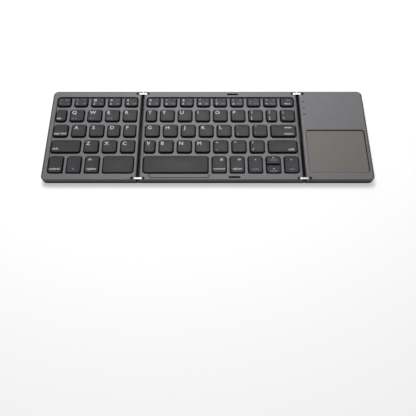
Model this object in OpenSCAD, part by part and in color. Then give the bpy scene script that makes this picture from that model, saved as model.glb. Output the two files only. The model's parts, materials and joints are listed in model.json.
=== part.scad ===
// Folding keyboard in three panels. The left wing and the right wing fold up over the centre panel
// on short double-pivot links. The model lies open and flat on its feet, keys upwards.
// Millimetres. Origin: middle of the footprint, on the surface that the feet stand on.
// +X runs from the left wing to the right wing, +Y from the front edge to the back, +Z up.

/* [Keys] */
// Width of a letter key's cell
key_w = 14.3; // [12:0.1:16]
// Width of the tab key's cell
tab_w = 10.8; // [9:0.1:14]
// Width of the two narrow keys at the fold lines of the upper letter row
narrow_w = 10.85; // [9:0.05:14]
// Width of each shift key's cell
shift_w = 28; // [24:0.5:31]
// Width of a modifier or arrow key's cell in the front row
modifier_w = 13.9; // [12:0.1:14.5]
// Depth of the key cells in the letter rows
row_d = 14.3; // [12:0.1:16]
// Depth of the key cells in the number row
number_row_d = 11; // [9.5:0.1:14]
// Depth of the key cells in the front row
front_row_d = 18.7; // [17:0.1:20]
// Web between neighbouring cells in a row
web_x = 2.9; // [2.7:0.1:4]
// Web between neighbouring rows
web_y = 3; // [2.8:0.1:4]
// Gap all round each keycap, between the cap and the key deck
key_gap = 0.7; // [0.5:0.05:0.8]
// Corner radius of a key cell
key_corner_r = 2.7; // [1:0.1:3]
// Corner radius of a whole block of keys
block_corner_r = 3.3; // [2.2:0.1:4]
// Travel of a key
key_travel = 1.3; // [0.8:0.1:1.3]
// How far the sides of a keycap lean inwards over its height
cap_lean = 0.55; // [0.1:0.05:0.7]
// Thickness of a keycap's top
cap_top_t = 0.7; // [0.5:0.05:0.9]
// Thickness of a keycap's skirt
cap_wall = 0.9; // [0.7:0.05:1.1]
// Length of the homing bars on the F and J keys
homing_l = 3.4; // [2:0.1:5]
// Width of the homing bars
homing_w = 0.5; // [0.3:0.05:0.8]
// How far the homing bars stand out of the keycaps
homing_h = 0.15; // [0.05:0.05:0.2]
// From the front edge of a keycap to the middle of its homing bar
homing_y = 2.4; // [1.6:0.1:4]

/* [Panels] */
// Thickness of a panel, without its feet
body_t = 7; // [6.6:0.1:7.6]
// From the wing's free edge to its first key cell
free_margin = 5; // [4.4:0.1:7]
// From a fold line to the nearest key cell
fold_margin = 4.1; // [3.9:0.1:6]
// From the front edge to the front row's cells
front_margin = 7; // [6.8:0.1:9]
// From the back edge to the number row's cells
back_margin = 7.5; // [6.8:0.1:9]
// Gap between the free edges of the two wings when both are folded
wing_gap = 0.3; // [0.2:0.1:2]
// Corner radius of the wings, seen from above
wing_corner_r = 4.8; // [3:0.1:6]
// Chamfer along the top outer edges
top_chamfer = 0.9; // [0.3:0.1:1.2]
// Chamfer along the bottom outer edges
bottom_chamfer = 0.9; // [0.4:0.1:1.4]
// How far the key deck lies under the top of the bezel
deck_drop = 1.6; // [1.2:0.05:1.7]
// Thickness of the key deck
deck_t = 0.7; // [0.5:0.05:0.8]
// How far the keycaps stay under the top of the bezel
key_drop = 0.2; // [0.1:0.05:0.3]
// Thickness of the bottom cover's floor
floor_t = 1; // [0.8:0.1:1.2]
// Width of the solid rim at the front and back edges
rim_y = 6.2; // [5.9:0.1:6.4]
// Width of the solid rim at a wing's free edge
rim_free = 2.4; // [1.5:0.1:3]
// Thickness of the rounded fold edge's wall
fold_wall = 1.3; // [1:0.1:1.5]

/* [Folds] */
// Radius of the rounded fold edges, and depth of the pins under the top of the panels
nose_r = 3; // [2.8:0.1:3.2]
// Gap between two panels, at a fold line and when folded over each other
fold_gap = 0.5; // [0.4:0.05:0.8]
// Radius of the hinge pins
pin_r = 0.8; // [0.6:0.05:0.9]
// Radial clearance of a pin in the ear and in the hinge block
pin_fit = 0.05; // [0.02:0.01:0.08]
// Radial clearance of a pin in its link
link_fit = 0.02; // [0.01:0.01:0.04]
// Thickness of the ear outside each front link
ear_t = 1; // [0.9:0.05:1.4]
// How far the hinges lie towards the front of the panels' middle
hinge_shift = 0.5; // [0:0.1:0.8]
// Thickness of a hinge link
link_t = 1.95; // [1.8:0.05:2.2]
// Clearance between a link and the ears outside it
link_side_gap = 0.12; // [0.08:0.01:0.16]
// Clearance between a link and the panels inside it
link_inner_gap = 0.35; // [0.1:0.05:0.4]
// How far a link's round ends stay inside the panels' outline
link_inset = 0.1; // [0.05:0.05:0.2]
// Clearance round a link's end in its notch
notch_gap = 0.25; // [0.2:0.05:0.4]
// Length of a hinge block's knuckle along its pin
knuckle_l = 1.7; // [1.5:0.05:1.9]
// Radius of a hinge block's knuckle
knuckle_r = 2; // [1.8:0.05:2.1]
// Length of a hinge block's leaf
leaf_l = 8; // [6:0.5:12]
// Thickness of a hinge block's leaf
leaf_t = 1.6; // [1.2:0.1:1.8]
// Width of the flex cables that cross the folds
flex_w = 16; // [10:1:16]
// Thickness of the flex cables
flex_t = 0.2; // [0.15:0.05:0.3]
// How far a flex cable runs into each panel
flex_reach = 4.3; // [3.5:0.1:4.4]

/* [Feet and bumpers] */
// How far the feet stand out under the panels
foot_h = 0.8; // [0.4:0.1:1.5]
// Length of a foot
foot_l = 10; // [6:0.5:14]
// Width of a foot
foot_w = 1.8; // [1.2:0.1:2]
// From the front or back edge to the middle of a foot
foot_y = 4.7; // [4.6:0.1:5.2]
// From a fold line to the middle of the nearest foot
foot_from_fold = 8.3; // [7:0.1:20]
// From a wing's free edge to the middle of the nearest foot
foot_from_edge = 14.5; // [10:0.5:25]
// Length of a bumper on the centre panel's bezel
bumper_l = 11; // [8:0.5:14]
// Width of a bumper
bumper_w = 1.8; // [1:0.1:2.4]
// How far a bumper stands out of the bezel
bumper_h = 0.35; // [0.2:0.05:0.35]
// From the front edge to the middle of the front bumper
bumper_front = 3.2; // [2.1:0.1:3.4]
// From the back edge to the middle of the back bumper
bumper_back = 4; // [2.4:0.1:5]
// How deep the feet and bumpers are let into the panels
rubber_seat = 0.3; // [0.2:0.05:0.35]

/* [Thumb relief] */
// From the centre key block's left edge to the relief's left end
relief_start = 5; // [3:0.5:12]
// Length of the relief along the key deck
relief_l = 58.2; // [40:0.2:70]
// Width of the relief from front to back
relief_w = 4.4; // [2:0.1:4.6]
// How far each end of the relief slants inwards
relief_slant = 2.4; // [1:0.1:5]
// Depth of the relief
relief_drop = 0.3; // [0.1:0.05:0.5]
// Width of the groove along the relief's front and ends
groove_w = 0.8; // [0.3:0.05:0.8]
// Depth of the groove
groove_d = 0.8; // [0.6:0.05:1]

/* [Touchpad] */
// From the right fold line to the touchpad's recess
pad_from_fold = 4.8; // [4.6:0.1:9]
// From the right wing's free edge to the touchpad's recess
pad_from_edge = 3.4; // [2.8:0.1:6]
// From the front edge to the touchpad's recess
pad_from_front = 7.8; // [5.5:0.1:10]
// Depth of the touchpad's recess from front to back
pad_d = 46.2; // [40:0.1:48]
// Corner radius of the touchpad's recess
pad_corner_r = 3; // [1.5:0.1:5]
// How far the touchpad's glass lies under the top of the wing
pad_drop = 0.9; // [0.5:0.05:1]
// Thickness of the touchpad's glass
pad_glass_t = 0.7; // [0.5:0.05:0.8]
// Gap all round the glass
pad_gap = 0.4; // [0.15:0.05:0.5]
// Width of the ledge that the glass rests on
pad_ledge = 2; // [1:0.1:3]
// Thickness of the touchpad's board
pad_board_t = 0.8; // [0.5:0.05:0.8]

/* [Electronics] */
// Thickness of the main board
board_t = 0.8; // [0.6:0.1:1]
// Depth of the main board from front to back
board_d = 31; // [24:0.5:33]
// Width of the main board
board_w = 50; // [40:0.5:52]
// From the right fold line to the main board
board_from_fold = 5.4; // [5.2:0.1:8]
// Width of the battery
battery_w = 46; // [30:0.5:50]
// Depth of the battery from front to back
battery_d = 38; // [25:0.5:42]
// Thickness of the battery
battery_t = 3; // [1.8:0.1:3.3]
// Width of the charging port's shell
port_w = 7.4; // [7:0.1:9]
// Height of the charging port's shell
port_h = 2.4; // [2.2:0.1:2.6]
// Length of the charging port's shell
port_l = 7.4; // [7:0.1:8]
// Thickness of the charging port's shell
port_wall = 0.3; // [0.2:0.05:0.4]
// From the main board's right end to the middle of the charging port
port_from_board_end = 8.2; // [6:0.1:25]
// Length of an indicator lens
lens_l = 2.6; // [1.6:0.1:3.2]
// Width of an indicator lens
lens_w = 0.9; // [0.6:0.05:1.2]
// From the right fold line to the indicator lenses
lens_from_fold = 5; // [4.9:0.1:10]
// From the back edge to the last indicator lens
lens_from_back = 12.7; // [9:0.1:15]
// Distance between indicator lenses
lens_pitch = 7.35; // [5:0.05:9]

/* [Hidden] */
$fn = 48;

// Colours, as the photographed object shows them
frame_grey = [0.55, 0.55, 0.56];
cover_grey = [0.29, 0.29, 0.29];
key_grey = [0.31, 0.31, 0.32];
rubber_black = [0.08, 0.08, 0.08];
chrome = [0.88, 0.88, 0.9];
steel = [0.6, 0.6, 0.62];
silicone = [0.7, 0.72, 0.75];
white_plastic = [0.85, 0.85, 0.83];
board_green = [0.1, 0.3, 0.2];
foil = [0.7, 0.71, 0.73];

// A little more than any solid that is cut, so that a cut passes right through
past = 1;
// Points of a quarter-circle corner
arc_steps = 5;

// Widths of the cells in each row, from the back row to the front row
left_span = tab_w + 4 * (key_w + web_x);
left_home_w = (left_span - 3 * (key_w + web_x) - web_x) / 2;
centre_span = 7 * key_w + 2 * narrow_w + 8 * web_x;
left_rows = [
    equal_widths(left_span, 5),
    [tab_w, key_w, key_w, key_w, key_w],
    [key_w, key_w, key_w, left_home_w, left_home_w],
    [left_span - 3 * (key_w + web_x), key_w, key_w, key_w],
    [modifier_w, modifier_w, modifier_w, left_span - 3 * (modifier_w + web_x)]
];
centre_rows = [
    equal_widths(centre_span, 9),
    [narrow_w, key_w, key_w, key_w, key_w, key_w, key_w, narrow_w, key_w],
    [key_w, key_w, key_w, key_w, key_w, key_w, key_w, centre_span - 7 * (key_w + web_x)],
    [centre_span - 6 * (key_w + web_x) - shift_w - web_x,
     key_w, key_w, key_w, key_w, key_w, key_w, shift_w],
    [centre_span - 5 * (modifier_w + web_x),
     modifier_w, modifier_w, modifier_w, modifier_w, modifier_w]
];
row_depths = [number_row_d, row_d, row_d, row_d, front_row_d];
last_row = len(row_depths) - 1;
// Place of the cell that the up and down keys share, in the front row
half_keys_at = 4;
// Places of the F and J keys in the home row of each block
home_row = 2;
f_key_at = 4;
j_key_at = 2;
keys_d = sum(row_depths) + last_row * web_y;

// Overall sizes and the two fold lines
depth = front_margin + keys_d + back_margin;
left_reach = free_margin + left_span + fold_margin;
centre_l = centre_span + 2 * fold_margin;
right_reach = centre_l - left_reach - wing_gap;
width = left_reach + centre_l + right_reach;
left_end = -width / 2;
right_end = width / 2;
left_fold = left_end + left_reach;
right_fold = left_fold + centre_l;
left_keys_x = left_end + free_margin;
centre_keys_x = left_fold + fold_margin;
keys_front = -depth / 2 + front_margin;

// Heights
body_bottom = foot_h;
body_top = body_bottom + body_t;
pin_z = body_top - nose_r;
floor_top = body_bottom + floor_t;
deck_top = body_top - deck_drop;
deck_bottom = deck_top - deck_t;
post_h = 1.9;
plate_t = 0.5;
plate_top = deck_bottom - post_h;
plate_bottom = plate_top - plate_t;
sheet_t = 0.15;
sheet_top = plate_top + sheet_t;
cap_top = body_top - key_drop;
cap_skirt_gap = 0.25;
cap_bottom = sheet_top + key_travel + cap_skirt_gap;
cap_h = cap_top - cap_bottom;
cap_roof = cap_top - cap_top_t;
plunger_gap = 0.1;
plunger_bottom = sheet_top + key_travel + plunger_gap;

// Folds: the pins lie half a pitch from the fold line, in the middle of the rounded fold edges. The
// lower corner of a fold edge has a smaller radius.
pin_pitch = 2 * nose_r + fold_gap;
pin_inset = pin_pitch / 2;
fold_corner_r = 1.6;
link_r = nose_r - link_inset;
notch_w = link_t + link_side_gap + link_inner_gap;
// Measured from the middle of the hinges
ear_end = depth / 2 - hinge_shift;
notch_outer = ear_end - ear_t;
notch_inner = notch_outer - notch_w;
knuckle_gap = 0.12;
flex_slot_gap = 0.15;
leaf_gap = 0.1;

// Screws and the posts that they go into
screw_r = 0.5;
screw_head_r = 1;
screw_head_t = 0.4;
screw_fit = 0.05;
screw_l = 2.1;
screw_end_gap = 0.1;
board_screw_l = 1.7;
post_r = 1;
post_gap = 0.2;
left_post_columns = 3;
centre_post_columns = 5;
post_webs = [0, 2, 3];
inner_gap = 0.3;

// Scissors and domes under the keys
scissor_l = 8.2;
scissor_d = 8;
scissor_bar = 0.6;
scissor_t = 0.45;
scissor_play = 0.15;
scissor_tilt = 15;
dome_r = 2.2;
dome_top_r = 1.3;
half_dome_r = 1.5;
dome_h = key_travel;
half_key_gap = 0.35;
half_key_r = 0.4;
plunger_r = 1.2;

// Rubber strips
bumper_corner_r = 0.6;
foot_end_flat = 0.1;

// Right wing
pad_x = right_fold + pad_from_fold;
pad_w = right_end - pad_from_edge - pad_x;
pad_front = -depth / 2 + pad_from_front;
pad_glass_top = body_top - pad_drop;
pad_glass_bottom = pad_glass_top - pad_glass_t;
pad_board_bottom = pad_glass_bottom - pad_board_t;
ledge_corner_r = 1;
bay_roof_t = 1.2;
bay_top = body_top - bay_roof_t;
bay_front = pad_front + pad_d + pad_ledge;
bay_back = depth / 2 - rim_y;
board_lift = 0.5;
board_corner_r = 1;
board_bottom = floor_top + board_lift;
board_top = board_bottom + board_t;
board_x = right_fold + board_from_fold;
board_front = bay_back - inner_gap - board_d;
board_screw_inset = 2.4;
board_boss_r = 1.6;
// Chips on the main board: place from its front left corner, width, depth and height
chips = [[14, 12, 7, 7, 0.9], [30, 9, 6, 5, 0.9], [24, 20, 4, 3, 0.7], [8, 22, 3, 2, 0.6], [38, 16, 3, 4, 1]];
battery_corner_r = 1.2;
port_x = board_x + board_w - port_from_board_end;
port_recess = 0.2;
port_gap = 0.1;
tongue_t = 0.5;
tongue_inset = 1;
lens_x = right_fold + lens_from_fold;
lens_fit = 0.05;
bay_x = lens_x - lens_l / 2 - inner_gap;

function sum(v, n = undef) = let (m = is_undef(n) ? len(v) : n) m <= 0 ? 0 : v[m - 1] + sum(v, m - 1);
function equal_widths(span, n) = [for (i = [1:n]) (span - (n - 1) * web_x) / n];
// Front edge of a row's cells, counted from the back row
function row_front(row) = depth / 2 - back_margin - sum(row_depths, row + 1) - row * web_y;
// Left edge of a cell, from the block's left edge
function cell_x(widths, k) = sum(widths, k) + k * web_x;
// Middle of the web in front of a row
function web_middle(row) = row_front(row) - web_y / 2;

// Quarter circle round c, starting at angle a. A radius of 0 is a sharp corner.
function corner(c, r, a) = r == 0 ? [c] :
    [for (i = [0:arc_steps]) let (t = a + 90 * i / arc_steps) c + r * [cos(t), sin(t)]];
// Rectangle with its own radius at each corner, in the order front left, front right, back right, back left
function rounded_rect(w, d, r) = concat(
    corner([r[0], r[0]], r[0], 180), corner([w - r[1], r[1]], r[1], 270),
    corner([w - r[2], d - r[2]], r[2], 0), corner([r[3], d - r[3]], r[3], 90));
// Radii of a key cell: larger where the cell is at a corner of its block
function cell_radii(row, k, n) = [
    row == last_row && k == 0 ? block_corner_r : key_corner_r,
    row == last_row && k == n - 1 ? block_corner_r : key_corner_r,
    row == 0 && k == n - 1 ? block_corner_r : key_corner_r,
    row == 0 && k == 0 ? block_corner_r : key_corner_r];

// Plate with rounded corners, its front left corner at the origin
module plate(w, d, h, radii) {
    linear_extrude(h) polygon(rounded_rect(w, d, radii));
}

module box(x0, x1, y0, y1, z0, z1) {
    translate([x0, y0, z0]) cube([x1 - x0, y1 - y0, z1 - z0]);
}

// Cylinder along Y
module rod(x, y0, y1, z, r) {
    translate([x, y1, z]) rotate([90, 0, 0]) cylinder(r = r, h = y1 - y0);
}

// Bar along Y with round sides, w wide and h high, its middle at x and z
module round_bar(x, y0, y1, z, w, h) {
    box(x - (w - h) / 2, x + (w - h) / 2, y0, y1, z - h / 2, z + h / 2);
    for (s = [-1, 1]) rod(x + s * (w - h) / 2, y0, y1, z, h / 2);
}

// Does the same at the front and at the back of the line y
module front_and_back(y = 0) {
    translate([0, y, 0]) {
        children();
        mirror([0, 1, 0]) children();
    }
}

// Calls its children once for each cell of a row, at the cell's front left corner,
// with $w, $d and $radii set to the cell's size
module each_cell(rows, x, row, first = 0, last = undef) {
    widths = rows[row];
    end = is_undef(last) ? len(widths) - 1 : last;
    for (k = [first:end]) {
        $cell = k;
        $w = widths[k];
        $d = row_depths[row];
        $radii = cell_radii(row, k, len(widths));
        translate([x + cell_x(widths, k), row_front(row), 0]) children();
    }
}

// The same over all the rows of a block
module every_cell(rows, x) {
    for (row = [0:last_row]) each_cell(rows, x, row) children();
}

// ---- Panels ----

// Cross-section from front to back: a plate with chamfered edges, run along X
module edge_profile(x0, x1) {
    b = depth / 2;
    translate([x0, 0, 0]) rotate([90, 0, 90]) linear_extrude(x1 - x0) polygon([
        [-b, body_bottom + bottom_chamfer], [-b + bottom_chamfer, body_bottom],
        [b - bottom_chamfer, body_bottom], [b, body_bottom + bottom_chamfer],
        [b, body_top - top_chamfer], [b - top_chamfer, body_top],
        [-b + top_chamfer, body_top], [-b, body_top - top_chamfer]]);
}

// The rounded end of a panel on the side s of x: a pin's nose above, a smaller corner below
module fold_end(x, s) {
    c = nose_r - fold_corner_r;
    y = depth / 2;
    intersection() {
        edge_profile(min(x, x + s * nose_r) - past, max(x, x + s * nose_r) + past);
        union() {
            rod(x, -y, y, pin_z, nose_r);
            rod(x + s * c, -y, y, body_bottom + fold_corner_r, fold_corner_r);
            box(min(x, x + s * nose_r), max(x, x + s * nose_r), -y, y, body_bottom + fold_corner_r, pin_z);
            box(min(x, x + s * c), max(x, x + s * c), -y, y, body_bottom, pin_z);
        }
    }
}

// The free end of a wing on the side s of x: chamfered all along, with rounded corners
module free_end(x, s) {
    r = wing_corner_r;
    y = depth / 2 - r;
    section = [
        [0, body_bottom], [r - bottom_chamfer, body_bottom], [r, body_bottom + bottom_chamfer],
        [r, body_top - top_chamfer], [r - top_chamfer, body_top], [0, body_top]];
    translate([x, y, 0]) rotate([90, 0, 0]) linear_extrude(2 * y)
        polygon([for (p = section) [s * p[0], p[1]]]);
    for (end = [-y, y]) translate([x, end, 0]) rotate_extrude() polygon(section);
}

// Whole outline of a panel from x0 to x1. Where an end is a fold line, the panel ends there in a
// rounded edge that is concentric with its pins.
module panel(x0, x1, fold0, fold1) {
    e0 = x0 + (fold0 ? pin_inset : wing_corner_r);
    e1 = x1 - (fold1 ? pin_inset : wing_corner_r);
    edge_profile(e0, e1);
    if (fold0) fold_end(e0, -1); else free_end(e0, -1);
    if (fold1) fold_end(e1, 1); else free_end(e1, 1);
}

module left_panel() { panel(left_end, left_fold, false, true); }
module centre_panel() { panel(left_fold, right_fold, true, true); }
module right_panel() { panel(right_fold, right_end, true, false); }

// The half of a panel above or below its parting line, which runs at the height of the pins
module upper_half() {
    intersection() {
        children();
        box(left_end - past, right_end + past, -depth, depth, pin_z, body_top + past);
    }
}
module lower_half() {
    intersection() {
        children();
        box(left_end - past, right_end + past, -depth, depth, -past, pin_z);
    }
}

// Space inside a panel from z0 to z1
module inner_space(x0, x1, fold0, fold1, z0, z1, inset = 0) {
    box(x0 + (fold0 ? fold_gap / 2 + fold_wall : rim_free) + inset,
        x1 - (fold1 ? fold_gap / 2 + fold_wall : rim_free) - inset,
        -depth / 2 + rim_y + inset, depth / 2 - rim_y - inset, z0, z1);
}

// What the two ends of a fold edge leave out of a panel: the notches for the links, the seats of the
// hinge blocks and the bores for the pins. The pin is at x and the fold line lies on the side s.
module fold_cuts(x, s) {
    notch_r = link_r + notch_gap;
    leaf_h = leaf_t / 2 + leaf_gap;
    seat_l = knuckle_l + 2 * knuckle_gap;
    x0 = min(x - s * notch_r, x + s * (nose_r + past));
    x1 = max(x - s * notch_r, x + s * (nose_r + past));
    front_and_back(-hinge_shift) {
        box(x0, x1, notch_inner, notch_outer, -past, body_top + past);
        rod(x, notch_inner - seat_l, notch_inner + past / 2, pin_z, knuckle_r + knuckle_gap);
        box(min(x, x - s * (leaf_l + leaf_gap)), max(x, x - s * (leaf_l + leaf_gap)),
            notch_inner - seat_l, notch_inner, pin_z - leaf_h, pin_z + leaf_h);
        rod(x, notch_inner, depth, pin_z, pin_r + pin_fit);
    }
}

// Slot through a fold edge for the flex cable
module flex_slot(fold) {
    h = flex_t / 2 + flex_slot_gap;
    box(fold - flex_reach - inner_gap, fold + flex_reach + inner_gap,
        -flex_w / 2 - flex_slot_gap, flex_w / 2 + flex_slot_gap, pin_z - h, pin_z + h);
}

// Places of the posts between the rows of a block
module each_post(x, span, columns) {
    for (row = post_webs, i = [0:columns - 1])
        translate([x + span * (i + 0.5) / columns, web_middle(row), 0]) children();
}

module posts(x, span, columns) {
    each_post(x, span, columns)
        translate([0, 0, plate_top]) cylinder(r = post_r, h = deck_bottom - plate_top + deck_t / 2);
}

module post_bores(x, span, columns) {
    each_post(x, span, columns)
        translate([0, 0, plate_top - past])
            cylinder(r = screw_r + screw_fit, h = screw_l + past - plate_t + screw_end_gap);
}

// Recess over the key deck, with one opening for each cell
module key_cuts(rows, x, span) {
    g = key_gap / 2;
    r = block_corner_r + g;
    translate([x - g, keys_front - g, deck_top])
        plate(span + key_gap, keys_d + key_gap, deck_drop + past, [r, r, r, r]);
    every_cell(rows, x)
        translate([-g, -g, pin_z - past])
            plate($w + key_gap, $d + key_gap, body_t, $radii + [g, g, g, g]);
}

// Shallow relief in the front bezel, for the thumbs at the space key, with a groove along its edge
module thumb_relief() {
    x0 = centre_keys_x + relief_start;
    x1 = x0 + relief_l;
    y1 = keys_front - key_gap / 2;
    relief_shape(x0, x1, y1, 0, relief_drop);
    difference() {
        relief_shape(x0, x1, y1, 0, groove_d);
        relief_shape(x0, x1, y1, groove_w, groove_d + past);
    }
}

// The relief's outline, inset by e and d deep
module relief_shape(x0, x1, y1, e, d) {
    y0 = y1 - relief_w;
    translate([0, 0, body_top - d]) linear_extrude(d + past) polygon([
        [x0 + relief_slant + e, y0 + e], [x1 - relief_slant - e, y0 + e],
        [x1 - e, y1 + past], [x0 + e, y1 + past]]);
}

module bumper_seat(extra) {
    x = left_fold + left_reach + wing_gap / 2;
    r = bumper_corner_r;
    for (y = [bumper_front - depth / 2, depth / 2 - bumper_back])
        translate([x - bumper_l / 2, y - bumper_w / 2, body_top - rubber_seat])
            plate(bumper_l, bumper_w, rubber_seat + extra, [r, r, r, r]);
}

module foot_strip(x, h) {
    r = foot_w / 2 - foot_end_flat;
    front_and_back()
        translate([x - foot_l / 2, depth / 2 - foot_y - foot_w / 2, body_bottom + rubber_seat - h])
            plate(foot_l, foot_w, h, [r, r, r, r]);
}

// Feet of a panel, or with h = rubber_seat + past the seats that they are let into
module left_foot_strips(h) {
    foot_strip(left_end + foot_from_edge, h);
    foot_strip(left_fold - foot_from_fold, h);
}
module centre_foot_strips(h) {
    foot_strip(left_fold + foot_from_fold, h);
    foot_strip(right_fold - foot_from_fold, h);
}
module right_foot_strips(h) {
    foot_strip(right_fold + foot_from_fold, h);
    foot_strip(right_end - foot_from_edge, h);
}

module left_top_frame() {
    color(frame_grey) difference() {
        union() {
            difference() {
                upper_half() left_panel();
                inner_space(left_end, left_fold, false, true, pin_z - past, deck_bottom);
            }
            posts(left_keys_x, left_span, left_post_columns);
        }
        key_cuts(left_rows, left_keys_x, left_span);
        post_bores(left_keys_x, left_span, left_post_columns);
        fold_cuts(left_fold - pin_inset, 1);
        flex_slot(left_fold);
    }
}

module centre_top_frame() {
    color(frame_grey) difference() {
        union() {
            difference() {
                upper_half() centre_panel();
                inner_space(left_fold, right_fold, true, true, pin_z - past, deck_bottom);
            }
            posts(centre_keys_x, centre_span, centre_post_columns);
        }
        key_cuts(centre_rows, centre_keys_x, centre_span);
        post_bores(centre_keys_x, centre_span, centre_post_columns);
        thumb_relief();
        bumper_seat(past);
        fold_cuts(left_fold + pin_inset, -1);
        fold_cuts(right_fold - pin_inset, 1);
        flex_slot(left_fold);
        flex_slot(right_fold);
    }
}

module right_top_frame() {
    r = pad_corner_r;
    w = pad_ledge;
    c = ledge_corner_r;
    color(frame_grey) difference() {
        upper_half() right_panel();
        inner_space(right_fold, right_end, true, false, pin_z - past, pad_board_bottom);
        box(bay_x, right_end - rim_free, bay_front, bay_back, pin_z - past, bay_top);
        translate([pad_x, pad_front, pad_glass_bottom]) plate(pad_w, pad_d, body_t, [r, r, r, r]);
        translate([pad_x + w, pad_front + w, pin_z - past])
            plate(pad_w - 2 * w, pad_d - 2 * w, body_t, [c, c, c, c]);
        lenses(lens_fit, bay_top - past, body_top + past);
        port_opening();
        fold_cuts(right_fold + pin_inset, -1);
        flex_slot(right_fold);
    }
}

module left_bottom_cover() {
    color(cover_grey) difference() {
        lower_half() left_panel();
        inner_space(left_end, left_fold, false, true, floor_top, pin_z + past);
        left_foot_strips(rubber_seat + past);
        fold_cuts(left_fold - pin_inset, 1);
        flex_slot(left_fold);
    }
}

module centre_bottom_cover() {
    color(cover_grey) difference() {
        lower_half() centre_panel();
        inner_space(left_fold, right_fold, true, true, floor_top, pin_z + past);
        centre_foot_strips(rubber_seat + past);
        fold_cuts(left_fold + pin_inset, -1);
        fold_cuts(right_fold - pin_inset, 1);
        flex_slot(left_fold);
        flex_slot(right_fold);
    }
}

module right_bottom_cover() {
    color(cover_grey) difference() {
        union() {
            difference() {
                lower_half() right_panel();
                inner_space(right_fold, right_end, true, false, floor_top, pin_z + past);
                box(board_x - inner_gap, right_end - rim_free, bay_front, bay_back, floor_top, pin_z + past);
            }
            each_board_screw() translate([0, 0, floor_top - floor_t / 2])
                cylinder(r = board_boss_r, h = board_bottom - floor_top + floor_t / 2);
        }
        each_board_screw() translate([0, 0, board_top - board_screw_l - screw_fit])
            cylinder(r = screw_r + screw_fit, h = board_screw_l);
        port_opening();
        right_foot_strips(rubber_seat + past);
        fold_cuts(right_fold + pin_inset, -1);
        flex_slot(right_fold);
    }
}

// ---- Inside the keyed panels ----

module base_plate(x0, x1, fold0, fold1, keys_x, span, columns) {
    color(steel) difference() {
        inner_space(x0, x1, fold0, fold1, plate_bottom, plate_top, inner_gap);
        each_post(keys_x, span, columns)
            translate([0, 0, plate_bottom - past]) cylinder(r = screw_r + screw_fit, h = plate_t + 2 * past);
    }
}

module dome(deep) {
    r = deep ? dome_r : half_dome_r;
    translate([0, 0, plate_top + sheet_t / 2]) cylinder(r1 = r, r2 = dome_top_r, h = dome_h + sheet_t / 2);
}

module dome_sheet(rows, keys_x, span, columns) {
    color(silicone) difference() {
        union() {
            box(keys_x, keys_x + span, keys_front, keys_front + keys_d, plate_top, sheet_top);
            each_key_centre(rows, keys_x) dome($deep);
        }
        each_post(keys_x, span, columns)
            translate([0, 0, plate_top - past]) cylinder(r = post_r + post_gap, h = past + dome_h);
    }
}

// Middle of each key, with $deep false for the two half keys
module each_key_centre(rows, x) {
    for (row = [0:last_row]) each_cell(rows, x, row)
        if (rows == centre_rows && row == last_row && $cell == half_keys_at) {
            $deep = false;
            for (y = [0.25, 0.75]) translate([$w / 2, $d * y, 0]) children();
        } else {
            $deep = true;
            translate([$w / 2, $d / 2, 0]) children();
        }
}

// One loop of a scissor: a flat frame of length l and depth d, tilted by a
module scissor_loop(l, d, a) {
    rotate([0, a, 0]) difference() {
        translate([-l / 2, -d / 2, -scissor_t / 2]) cube([l, d, scissor_t]);
        translate([-l / 2 + scissor_bar, -d / 2 + scissor_bar, -scissor_t])
            cube([l - 2 * scissor_bar, d - 2 * scissor_bar, 2 * scissor_t]);
    }
}

// Two loops that cross like scissors, the smaller inside the larger
module scissor(deep) {
    d = deep ? scissor_d : front_row_d / 2 - 2 * cap_wall - 2 * key_gap;
    step = 2 * (scissor_bar + scissor_play);
    translate([0, 0, (sheet_top + cap_roof) / 2]) {
        scissor_loop(scissor_l, d, scissor_tilt);
        scissor_loop(scissor_l, d - step, -scissor_tilt);
    }
}

module key_scissors(rows, keys_x) {
    color(white_plastic) each_key_centre(rows, keys_x) scissor($deep);
}

module post_screws(keys_x, span, columns) {
    color(steel) each_post(keys_x, span, columns) {
        translate([0, 0, plate_bottom]) cylinder(r = screw_r, h = screw_l);
        translate([0, 0, plate_bottom - screw_head_t]) cylinder(r = screw_head_r, h = screw_head_t);
    }
}

// ---- Keycaps ----

// A shell with leaning sides, w by d at its skirt, its front left corner at the origin
module cap_shell(w, d, radii) {
    lean = cap_lean;
    h = cap_h;
    translate([0, 0, cap_bottom]) difference() {
        intersection() {
            plate(w, d, h, radii);
            translate([0, d, 0]) rotate([90, 0, 0]) linear_extrude(d)
                polygon([[0, 0], [w, 0], [w - lean, h], [lean, h]]);
            rotate([90, 0, 90]) linear_extrude(w)
                polygon([[0, 0], [d, 0], [d - lean, h], [lean, h]]);
        }
        translate([cap_wall, cap_wall, -past])
            cube([w - 2 * cap_wall, d - 2 * cap_wall, cap_roof - cap_bottom + past]);
    }
    translate([w / 2, d / 2, plunger_bottom])
        cylinder(r = plunger_r, h = cap_roof - plunger_bottom + cap_top_t / 2);
}

// Cap of a whole cell
module keycap() {
    g = key_gap / 2;
    color(key_grey) translate([g, g, 0]) cap_shell($w - key_gap, $d - key_gap, $radii - [g, g, g, g]);
}

// Raised bar on the top of a cap, sunk into it a little
module homing_bar() {
    x = $w / 2;
    y = key_gap / 2 + homing_y;
    box(x - homing_l / 2, x + homing_l / 2, y - homing_w / 2, y + homing_w / 2,
        cap_top - homing_h, cap_top + homing_h);
}

// Cap of the front or the back half of a cell
module half_keycap(back) {
    g = key_gap / 2;
    r = key_corner_r - g;
    d = ($d - key_gap - half_key_gap) / 2;
    color(key_grey) translate([g, g + (back ? d + half_key_gap : 0), 0])
        cap_shell($w - key_gap, d, back ? [half_key_r, half_key_r, r, r] : [r, r, half_key_r, half_key_r]);
}

module left_keys(row, first, last) {
    each_cell(left_rows, left_keys_x, row, first, last) keycap();
}
module centre_keys(row, first, last) {
    each_cell(centre_rows, centre_keys_x, row, first, last) keycap();
}

// ---- Folds ----

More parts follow.
